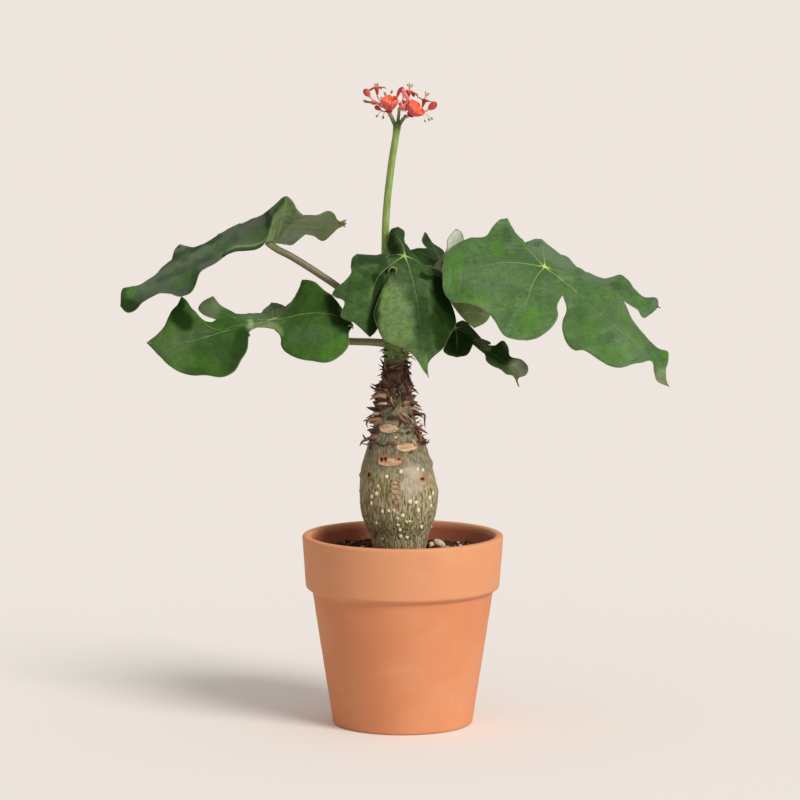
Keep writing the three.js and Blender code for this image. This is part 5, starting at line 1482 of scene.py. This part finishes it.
def make_leaf(name, look, seed):
    along, across, side_veins, shade, rib_tone, mottle, *stalk_end = LEAF_FORMS[name]
    blade = Blade(LEAVES[name], along, across, side_veins)
    hub_distance = np.linalg.norm(blade.points - blade.points[0], axis=1) / MM
    edge = blade.margin_distance()
    rib_strength = smooth_step(blade.share, 0.95, 0.45)
    relief = -0.4 * (np.exp(-(blade.rib / 1.3) ** 2) * rib_strength)
    relief += 0.55 * rough(blade.points, 0.0075, seed) + 0.9 * rough(blade.points, 0.019, seed + 1)
    relief += np.exp(-edge / 5) * 1.1 * rough(blade.points, 0.011, seed + 2)
    side = np.abs(blade.phase - np.round(blade.phase)) * 2
    relief += 0.2 * (smooth_step(side, 0, 0.6) - 0.6) * blade.strength
    relief *= smooth_step(hub_distance, 1, 9)
    middle = blade.points + blade.normals * (relief * MM)[:, None]
    thickness = LEAF_THICKNESS * (0.55 + 0.45 * smooth_step(edge, 0, 2)) * MM
    points, faces = thickened(middle, blade.faces, thickness)
    values = {"hub": hub_distance, "edge": edge, "rib": blade.rib, "phase": blade.phase,
              "side_strength": blade.strength, "rib_strength": rib_strength}
    # The dark, light and sheen strokes carry painted shade, painted light and a painted sheen.
    for kind in ("dark", "lime", "grey", "light", "under"):
        values[kind] = tint_strengths(middle, TINTS[name].get(kind, []), seed)
    values = {key: np.tile(value, 2) for key, value in values.items()}
    values["upper"] = np.repeat((1.0, 0.0), len(middle)) * (1 - values.pop("under"))
    shape = Shape()
    shape.add(points, faces, spacing=length_of(blade.ribs[0]) / MM / side_veins, shade=shade,
              rib_tone=rib_tone, mottle=mottle, **values)
    shape.piece(f"blade_{name}", look, "leaf", f"leaf_{name}")
    make_petiole(name, blade.points[0], blade.normals[0], *stalk_end)
    return middle


# The part of the upper left leaf that folds forward over its hub: pairs of places at its lower
# and upper edge, from the blade to the fold's own rim
FOLD = [
    ((-136.5, 345.4, -43), (-136.5, 364, 42)), ((-130, 349.6, -56), (-129.4, 367.4, 28)),
    ((-123, 352.2, -58), (-122, 370.8, 20)), ((-116, 352.6, -58), (-115, 374.2, 6)),
    ((-108.4, 353.6, -58), (-107.4, 377.4, -12)), ((-103.7, 356, -57.5), (-102, 379.8, -25)),
    ((-100.8, 359.6, -57), (-98.6, 382.4, -34)), ((-98.4, 363.8, -56), (-96.2, 384.4, -39)),
    ((-96.8, 370.2, -55), (-93.4, 387, -43)), ((-95, 376.8, -53.5), (-90.6, 389.6, -46)),
    ((-90.6, 382.4, -51.5), (-88.4, 391.6, -48)), ((-86.6, 388.4, -50), (-86, 392.6, -49)),
]


def make_fold(look):
    along, across = 56, 24
    (lower, share), (upper, _) = (seen_way(line, along - 1) for line in zip(*FOLD))
    v = np.linspace(0, 1, across)[None, :, None]
    points = lower[:, None] * (1 - v) + upper[:, None] * v
    out = 3 * smooth_step(share, 0.3, 0.6) - 11 * smooth_step(share, 0, 0.14) * smooth_step(share, 0.5, 0.2)
    points = (points + np.array((0, -1, 0)) * np.sin(np.pi * v) * out[:, None, None] * MM).reshape(-1, 3)
    faces = grid_faces(along, across)
    middle = points + point_normals(points, faces) * (0.5 * rough(points, 0.011, 77) * MM)[:, None]
    height = np.linalg.norm(as_seen(upper) - as_seen(lower), axis=1)
    low = (height[:, None] * np.linspace(0, 1, across)).ravel()
    share = np.repeat(share, across)
    rim = 0.4 + 2.4 * smooth_step(share, 0.64, 0.5)
    tints = {kind: tint_strengths(middle, TINTS["left_upper"][kind], 5) for kind in ("dark", "lime", "grey")}
    # Painted shade darkens the fold below its rim, and a thin painted highlight runs along the rim.
    tints["dark"] = np.maximum(tints["dark"], 0.5 * smooth_step(low, rim - 0.3, rim - 1.2))
    tints["grey"] = tints["grey"] * smooth_step(share, 0.2, 0.45)
    tints["light"] = 0.7 * np.exp(-((low - rim) / 0.75) ** 2) * smooth_step(share, 0.16, 0.28)
    shade, _, mottle = LEAF_FORMS["left_upper"][3:6]
    tints["shade"] = shade - 0.16 * smooth_step(share, 0.45, 0.15)
    points, faces = thickened(middle, faces, LEAF_THICKNESS * 0.7 * MM)
    shape = Shape()
    shape.add(points, faces, hub=60.0, rib=9.0, edge=9.0, phase=0.5, side_strength=0.0, rib_strength=0.0,
              spacing=4.0, rib_tone=0.0, mottle=mottle, upper=1.0,
              **{kind: np.tile(values, 2) for kind, values in tints.items()})
    shape.piece("blade_left_upper_fold", look, "leaf")


# Leaf stalks: the way from the green tip towards the hub, in the same terms as the leaves
PETIOLE_WAYS = {
    "right": [(2, 286, 1), (14, 299, 2), (36, 316, 2), (62, 325, -5), (86, 327.4, -14)],
    "front": [(-4, 286, -6), (-2, 300, -13), (0, 322, -23), (1, 338, -32)],
    "left_upper": [(-8, 286, 4), (-25, 306, 3), (-47, 325.2, 2), (-60.6, 334.6, 1), (-72.2, 342.2, 0),
                   (-83.9, 349.2, -1), (-91.8, 353.2, -3)],
    "left_lower": [(-11, 284, 0), (-25, 285, 2), (-39, 285.4, 5), (-70, 288, 8), (-88, 293, 1)],
    "right_lower": [(1, 280, -5), (12, 281, -9), (28, 285, -8)],
    "back": [(-1, 287, 6), (6, 300, 14), (18, 322, 26), (27, 336, 34)],
}
PETIOLE_LOOK = leaf_stalk()


def make_petiole(name, hub, normal, bend_length, end_offset):
    way = [seen(place) for place in PETIOLE_WAYS[name]]
    hub = hub + np.array(end_offset) * MM
    bend = hub - unit(2 * unit(hub - way[-1]) + normal) * bend_length * MM
    line = curve_evenly([*way, bend, hub - normal * 0.2 * MM], 70)
    shares = np.linspace(0, 1, 71)
    swelling = 0.28 * np.exp(-shares / 0.05) - 0.06 * shares + 0.1 * np.exp(-(1 - shares) / 0.04)
    shape = Shape()
    shape.add_tube(line, PETIOLE_RADIUS * (1 + swelling) * MM, 22, share=shares)
    shape.piece(f"stalk_{name}", PETIOLE_LOOK, "leaf_stalk", f"petiole_{name}")


# The flower stalk and its three branches, and the branches' radii
PEDUNCLE_WAY = [
    (-5.6, 288, 0), (-9, 306, 1), (-12.4, 330, 0), (-12.9, 350, 0), (-12.1, 380, 0), (-8.6, 414, 0),
    (-4.6, 440, 0), (-4, 446, 0),
]
BRANCHES = [
    ([(-4.6, 443, 0), (-7.5, 449, 0), (-10.2, 455, 0)], 1.5),
    ([(-4, 443, 0), (-3.2, 450, 1), (-2.4, 457.5, 2)], 1.2),
    ([(-3.8, 443, 0), (-0.6, 448, 0), (2.6, 452, 0)], 1.35),
]

# Flowers: each one's throat, the way it faces, the petals' reach, the branch that it stands on and
# the turn of its petals. wide and high say how far the petals reach aside and along, slim narrows
# them, the next darkens them with painted shade, tube is the tube's length as a share of their
# reach, and threads is how far the stamens stand out. The spent flower's stamens are dark.
BLOOM_KEYS = ("throat", "facing", "reach", "foot", "turn", "wide", "high", "slim", "dusk", "tube", "threads")
BLOOMS = [dict(zip(BLOOM_KEYS, row)) for row in (
    ((-10.2, 454.8, -7), (0.06, -0.3, 0.95), 11, 0, 0.95, 0.56, 0.95, 1.2, 0, 0.12, 4),
    ((5.4, 452.4, -6), (0.62, -0.4, 0.68), 11, 2, 0.7, 0.6, 0.82, 1.2, 0, 0.12, 4),
    ((-19, 471, 3), (-0.12, 0.05, 1), 6.8, 0, 0.1, 1, 0.1, 0.62, 0.9, 0.6, 2.9),
    ((4.4, 468.2, 5), (0.2, 0.1, 1), 7, 1, 0.1, 1, 0, 0.66, 0.8, 0.7, 5.9),
    ((15.6, 461.8, 6), (0.3, 0.1, 0.95), 6.4, 2, 0.1, 0.85, 0.35, 0.7, 0.7, 0.6, 6.3),
    ((-18.6, 460.8, 4), (-0.98, 0.05, 0.14), 4.6, 0, 0.3, 0.24, 0.9, 0.8, 0, 0.5, 9.6),
    ((1.2, 458, 12), (0.1, 0.9, 0.5), 5.6, 1, 0.3, 0.8, 0.4, 1, 0, 0.7, 3),
)]
SPENT_BLOOM = 6
PETALS, CROWN_LOBES, STAMENS = 5, 10, 8
# Buds: tip, base, radius and the branch that each stands on
BUDS = [
    ((-28.4, 471.2, 0), (-24.2, 465.8, 0), 2.6, 0), ((25, 461.4, 0), (18.8, 456.4, 0), 2.9, 2),
    ((-20.6, 458.8, -2), (-16.4, 456, -1), 1.9, 0), ((-0.4, 473, -3), (0.4, 467.4, -2), 1.5, 1),
]
# Long petals that curl over between the flowers: radius, pinkness, painted shade and way
CURLED_PETALS = [
    (1.5, 0.75, 0.1, [(4.8, 460.6, -6), (3.4, 464.4, -7), (1.2, 468.4, -7.6), (-0.4, 471.4, -7.4)]),
    (1.4, 0.0, 0.5, [(-0.2, 472, -7), (-1.6, 471.4, -6.4), (-3, 468.6, -6), (-4.2, 465.2, -6)]),
    (1.2, 0.5, 0, [(2.6, 455, -8), (0.6, 458, -8.4), (-1.6, 461.8, -8)]),
    (0.8, 0.8, 0, [(-15, 457.6, -1), (-17.8, 460.4, -1), (-20.6, 463, 0)]),
]


def make_flower_stalks():
    shape = Shape()
    way, shares = seen_way(PEDUNCLE_WAY, 90)
    radii = (3.05 - 0.55 * shares + 0.35 * smooth_step(shares, 0.93, 0.99)) * MM
    shape.add_tube(way, radii, 26, blush=0.12 * smooth_step(shares, 0.08, 0.0), level=shares)
    feet = []
    for branch, radius in BRANCHES:
        way, shares = seen_way(branch, 20)
        radii = radius * (1.15 - 0.3 * shares + 0.2 * smooth_step(shares, 0.75, 1)) * MM
        shape.add_tube(way, radii, 16, blush=0.25 * shares ** 2, level=1 + shares)
        feet.append(way[-1])
    ends = [(bloom["foot"], *bloom_frame(bloom)[1:]) for bloom in BLOOMS]
    ends += [(foot, *bud_frame(tip, base)[:2]) for tip, base, _, foot in BUDS]
    for foot, axis, tail in ends:
        near = tail - axis * 1.6 * MM
        half = (feet[foot] + near) / 2 - axis * 0.8 * MM
        way = curve_evenly([feet[foot], half, near, tail - axis * 0.1 * MM], 16)
        shares = np.linspace(0, 1, 17)
        radii = (0.5 + 0.12 * np.exp(-shares / 0.1) + 0.3 * smooth_step(shares, 0.8, 1)) * MM
        shape.add_tube(way, radii, 10, blush=0.6 + 0.35 * shares, level=2 + shares)
    shape.piece("flower_stalk", flower_stalk(), "flower_stalk", "peduncle")


def bloom_frame(bloom):
    """A flower's throat, the way it faces and its tube's end."""
    centre = seen(bloom["throat"])
    axis = unit(bloom["facing"])
    return centre, axis, centre - axis * bloom["tube"] * bloom["reach"] * MM


def bud_frame(tip, base):
    tail = seen(base)
    return unit(seen(tip) - tail), tail, np.linalg.norm(seen(tip) - tail)


def add_petal(shape, numbers, centre, axis, out, bloom):
    """A petal that rises from the tube, opens outwards and curls back at its end."""
    rows, columns = 12, 9
    v = np.linspace(0, 1, rows)[:, None]
    u = np.linspace(-1, 1, columns)[None, :]
    wide, high = bloom["wide"], bloom["high"]
    half = bloom["slim"] * np.interp(v, (0, 0.2, 0.5, 0.75, 0.92, 1), (0.13, 0.24, 0.34, 0.36, 0.26, 0.1))
    far = 0.1 + (0.86 * v - 0.05 * u ** 2 * v + 0.08 * v ** 4 + 0.5 * high * v * (1 - v)) * wide
    rise = high * (0.55 * v + 0.45 * v ** 2) + (1 - high) * (0.1 * np.sin(np.pi * v) - 0.16 * v ** 3)
    cup = (0.16 - 0.1 * v) * u ** 2
    wave = 0.035 * np.sin(2.6 * v * np.pi + numbers.uniform(0, 6)) * u
    twist = numbers.uniform(-0.12, 0.12) * v * u
    lift = rise + (cup + wave + twist) * (1 - 0.6 * high)
    bend = numbers.uniform(-0.12, 0.12) * v ** 2
    grid = (out * (far - cup * 1.2 * high)[..., None] + np.cross(axis, out) * (half * u + bend)[..., None]
            + axis * lift[..., None])
    points = centre + grid.reshape(-1, 3) * (bloom["reach"] * MM)
    points, faces = thickened(points, grid_faces(rows, columns), 0.26 * MM)
    share = np.tile((v + 0 * u).reshape(-1), 2)
    inner = np.repeat((0.0, 1.0), len(points) // 2)
    dusk = bloom["dusk"] * numbers.uniform(0.6, 1)
    shape.add(points, faces, share=share, inner=inner, pink=numbers.choice((0.0, 0.0, 0.3)), dusk=dusk)


def add_throat(shape, centre, first, second, axis, bloom):
    """A flower's tube and throat: steps along the axis, each with its radius."""
    steps = [(-1, 0.1), (-0.8, 0.13), (-0.4, 0.18), (-0.1, 0.22), (0.07, 0.26), (0.13, 0.22), (0.13, 0.02)]
    steps = np.array(steps) * (bloom["tube"], 1) * (bloom["reach"] * MM)
    angles = round_angles(20)
    ring = np.outer(np.cos(angles), first) + np.outer(np.sin(angles), second)
    rows = [centre + axis * far + ring * radius for far, radius in steps]
    ends = [centre + axis * steps[0][0], centre + axis * steps[-1][0]]
    shape.add(np.concatenate([*rows, ends]), tube_faces(len(steps), 20),
              share=0.3, inner=0.0, pink=0.0, dusk=0.0)


def make_blooms():
    petal_look, crown_look, stamen_look = petal(), crown(), stamen()
    crowns = Shape()
    for number, bloom in enumerate(BLOOMS, 1):
        numbers = random.Random(30 + number)
        centre, axis, _ = bloom_frame(bloom)
        reach = bloom["reach"] * MM
        first, second, axis = along_axis(axis)
        shape = Shape()
        add_throat(shape, centre, first, second, axis, bloom)
        for k in range(PETALS):
            angle = bloom["turn"] + 2 * math.pi * k / PETALS + numbers.uniform(-0.08, 0.08)
            out = first * math.cos(angle) + second * math.sin(angle)
            add_petal(shape, numbers, centre, axis, out, bloom)
        shape.piece(f"flower_{number}", petal_look, "petal", f"bloom_{number}")
        tall, lift = (1.5, 0.16) if bloom["high"] > 0.7 else (1, 0.02)
        for k in range(CROWN_LOBES):
            angle = 2 * math.pi * (k + 0.5) / CROWN_LOBES
            out = first * math.cos(angle) + second * math.sin(angle)
            root = centre + out * 0.17 * reach + axis * lift * reach
            way = [root + (axis * up * tall + out * aside) * reach
                   for up, aside in ((0, 0), (0.18, 0.05), (0.34, 0.1))]
            radii = np.interp(np.linspace(0, 1, 7), (0, 0.5, 1), np.array((0.075, 0.07, 0.03)) * reach)
            crowns.add_tube(curve_evenly(way, 6), radii, 8, dusk=min(1.0, 1.2 * bloom["dusk"]))
        stamens = Shape()
        root = centre + axis * 0.15 * reach
        add_stamens(stamens, numbers, root, first, second, axis, bloom["threads"], number == SPENT_BLOOM)
        stamens.piece(f"anthers_{number}", stamen_look, "stamen", f"stamens_{number}")
    crowns.piece("flower_crowns", crown_look, "petal")
    make_curled_petals(petal_look)


def add_stamens(shape, numbers, root, first, second, axis, length, dark):
    """A bundle of threads that spread a little, each with an anther at its end."""
    points, faces = ball(2)
    thread, spread = (0.4, 0.8) if dark else (0.2, 2.1)
    for k in range(STAMENS):
        angle = 2 * math.pi * k / STAMENS + numbers.uniform(-0.2, 0.2)
        out = first * math.cos(angle) + second * math.sin(angle)
        long = length * numbers.uniform(0.7, 1) * MM
        top = root + axis * long + out * numbers.uniform(0.5, spread) * MM
        way = curve_evenly([root + out * 0.4 * MM, root + axis * 0.5 * long + out * 0.5 * MM, top], 8)
        shape.add_tube(way, thread * MM, 6, share=np.linspace(0, 0.4, 9), dark=dark)
        tangent = unit(way[-1] - way[-2])
        rows = along_axis(unit(tangent + 0.4 * out * numbers.uniform(-1, 1)))
        size = np.array((0.42, 0.42, 0.95)) * numbers.uniform(0.85, 1.15)
        shape.add(top + (points * size) @ rows * MM, faces, share=1.0, dark=dark)


def make_buds():
    look = bud()
    rows, sides = 22, 30
    shares = np.linspace(0.0, 1, rows)
    width = np.interp(shares, (0, 0.12, 0.3, 0.55, 0.75, 0.9, 1), (0.32, 0.55, 0.85, 1, 0.9, 0.6, 0.08))
    angles = round_angles(sides)
    turned = angles[None, :] + 0.9 * shares[:, None]
    folds = 1 - 0.06 * np.abs(np.sin(2.5 * turned)) ** 0.5 * (shares[:, None] > 0.1)
    for number, (tip, base, thick, _) in enumerate(BUDS, 1):
        axis, tail, length = bud_frame(tip, base)
        first, second, axis = along_axis(axis)
        radius = width[:, None] * folds * thick * MM
        ring = np.cos(angles)[:, None] * first + np.sin(angles)[:, None] * second
        points = tail + axis * (shares * length)[:, None, None] + ring[None] * radius[..., None]
        points = np.concatenate([points.reshape(-1, 3), [tail, tail + axis * length]])
        shape = Shape()
        shape.add(points, tube_faces(rows, sides), share=np.append(np.repeat(shares, sides), (0, 1)))
        shape.piece(f"closed_bud_{number}", look, "bud", f"bud_{number}")


# Threads with anthers from the flowers that face away: their way, and how thick the anther is
LOOSE_STAMENS = [
    ((-15, 455, 2), (-19, 451.4, 1), 0.9), ((-13, 455, 3), (-14.4, 450.4, 2), 1.0),
    ((14.4, 453, 1), (16.4, 447.8, 0), 0.9), ((15.4, 453.4, 1), (21.4, 449.6, 0), 1.0),
    ((16.4, 453, 2), (19.4, 448.8, 1), 1.0), ((-11.6, 462, -4), (-12.9, 467.7, -4), 1.3),
    ((-9.6, 462, -4), (-8.1, 469.2, -4), 1.2), ((2, 458, -4), (0.4, 462.3, -4), 0.9),
]


def make_loose_stamens():
    numbers = random.Random(12)
    points, faces = ball(2)
    shape = Shape()
    for start, end, thick in LOOSE_STAMENS:
        start, end = seen(start), seen(end)
        way = curve_evenly([start, (start + end) / 2 + UP * 0.8 * MM, end], 10)
        shape.add_tube(way, 0.2 * MM, 8, share=np.linspace(0, 0.4, 11), dark=0.0)
        rows = along_axis(unit(way[-1] - way[-2] + UP * numbers.uniform(-0.3, 0.3) * MM))
        shape.add(end + (points * (0.8, 0.8, 1.25)) @ rows * thick * MM, faces, share=1.0, dark=0.4)
    shape.piece("loose_stamens", stamen(), "stamen")


def make_curled_petals(look):
    shape = Shape()
    for radius, pink, dusk, places in CURLED_PETALS:
        way, shares = seen_way(places, 18)
        radii = radius * (0.35 + 0.65 * np.sin(np.pi * (0.08 + 0.84 * shares))) * MM
        shape.add_tube(way, radii, 12, 0.3, (0.0, -1.0, 0.3), ends=(0, 1),
                       share=0.3 + 0.6 * shares, inner=0.0, pink=pink, dusk=dusk)
    shape.piece("curled_petals", look, "petal")


# Floor, light and camera
BACKDROP = (238, 230, 222)
AMBIENT_TINT = (1.0, 0.93, 0.87, 1)
AMBIENT = 0.42
KEY_TRAVEL = (-150, 150, -141)
EYE_SENSOR, FAR = 36, 2000


def make_floor():
    near, far, wide = -8.0, 900.0, 300.0
    corners = [(-wide, near, 0), (wide, near, 0), (wide, far, 0), (-wide, far, 0)]
    floor = add_mesh("floor", corners, [(0, 1, 2, 3)])
    floor.data.materials.append(Look("floor", 1.0, 0.0).done(colour(*BACKDROP)))
    return floor


def make_world():
    """Even light from all round, in front of a backdrop that is as pale as the floor."""
    world = bpy.data.worlds.new("daylight")
    world.use_nodes = True
    nodes, links = world.node_tree.nodes, world.node_tree.links
    light = nodes["Background"]
    light.inputs["Color"].default_value = AMBIENT_TINT
    light.inputs["Strength"].default_value = AMBIENT
    backdrop = nodes.new("ShaderNodeBackground")
    backdrop.inputs["Color"].default_value = colour(*BACKDROP)
    rays = nodes.new("ShaderNodeLightPath").outputs["Is Camera Ray"]
    mix = nodes.new("ShaderNodeMixShader")
    for output, socket in zip((rays, light.outputs[0], backdrop.outputs[0]), mix.inputs):
        links.new(output, socket)
    links.new(mix.outputs[0], nodes["World Output"].inputs["Surface"])
    bpy.context.scene.world = world


def add_group(name, members):
    group = bpy.data.collections.new(name)
    for member in members:
        group.objects.link(member)
    return group


def add_lamp(name, energy, angle, towards, lit, blockers=(), excluded=False, tint=(1, 1, 1)):
    """A distant soft lamp: what it lights (or leaves out), and what casts its shadows."""
    sun = bpy.data.lights.new(name, "SUN")
    sun.energy = energy
    sun.angle = math.radians(angle)
    sun.color = tint
    lamp = add_object(name, sun)
    lamp.rotation_euler = Vector(towards).to_track_quat("-Z", "Y").to_euler()
    receivers = add_group(f"{name}_lights", lit)
    lamp.light_linking.receiver_collection = receivers
    if excluded:
        for entry in receivers.collection_objects:
            entry.light_linking.link_state = "EXCLUDE"
    if blockers:
        lamp.light_linking.blocker_collection = add_group(f"{name}_shadows", blockers)


def make_light(floor):
    make_world()
    solid = [bpy.data.objects[name] for name in ("clay_pot", "earth", "stem")]
    add_lamp("key", 3.0, 25, KEY_TRAVEL, [floor], excluded=True)
    add_lamp("sky", 0.7, 80, (0.35, -0.35, -0.87), [floor], excluded=True)
    add_lamp("floor_key", 2.5, 27, KEY_TRAVEL, [floor], solid)
    add_lamp("floor_fill", 0.44, 150, (0, 0, -1), [floor], solid, tint=(1.0, 1.2, 1.4))


def make_camera():
    """The eye as a camera."""
    camera = bpy.data.cameras.new("camera")
    camera.lens = EYE_LENS
    camera.sensor_width = EYE_SENSOR
    camera.clip_end = FAR
    eye = add_object("camera", camera)
    eye.location = EYE
    eye.rotation_euler = (math.radians(90 - EYE_PITCH), 0, 0)
    bpy.context.scene.camera = eye


make_pot()
make_soil()
make_pebbles()
make_trunk()
make_lenticels()
make_stipules()
make_shoot_tip()
blade_look = leaf_blade()
dry_tips = Shape()
for order, name in enumerate(LEAVES):
    add_dry_tips(dry_tips, name, make_leaf(name, blade_look, 5 * order))
make_fold(blade_look)
dry_tips.piece("dry_leaf_tips", stipule(), "leaf")
make_flower_stalks()
make_blooms()
make_buds()
make_loose_stamens()
make_light(make_floor())
make_camera()
bpy.context.scene.view_settings.view_transform = "Standard"

bpy.context.view_layer.update()
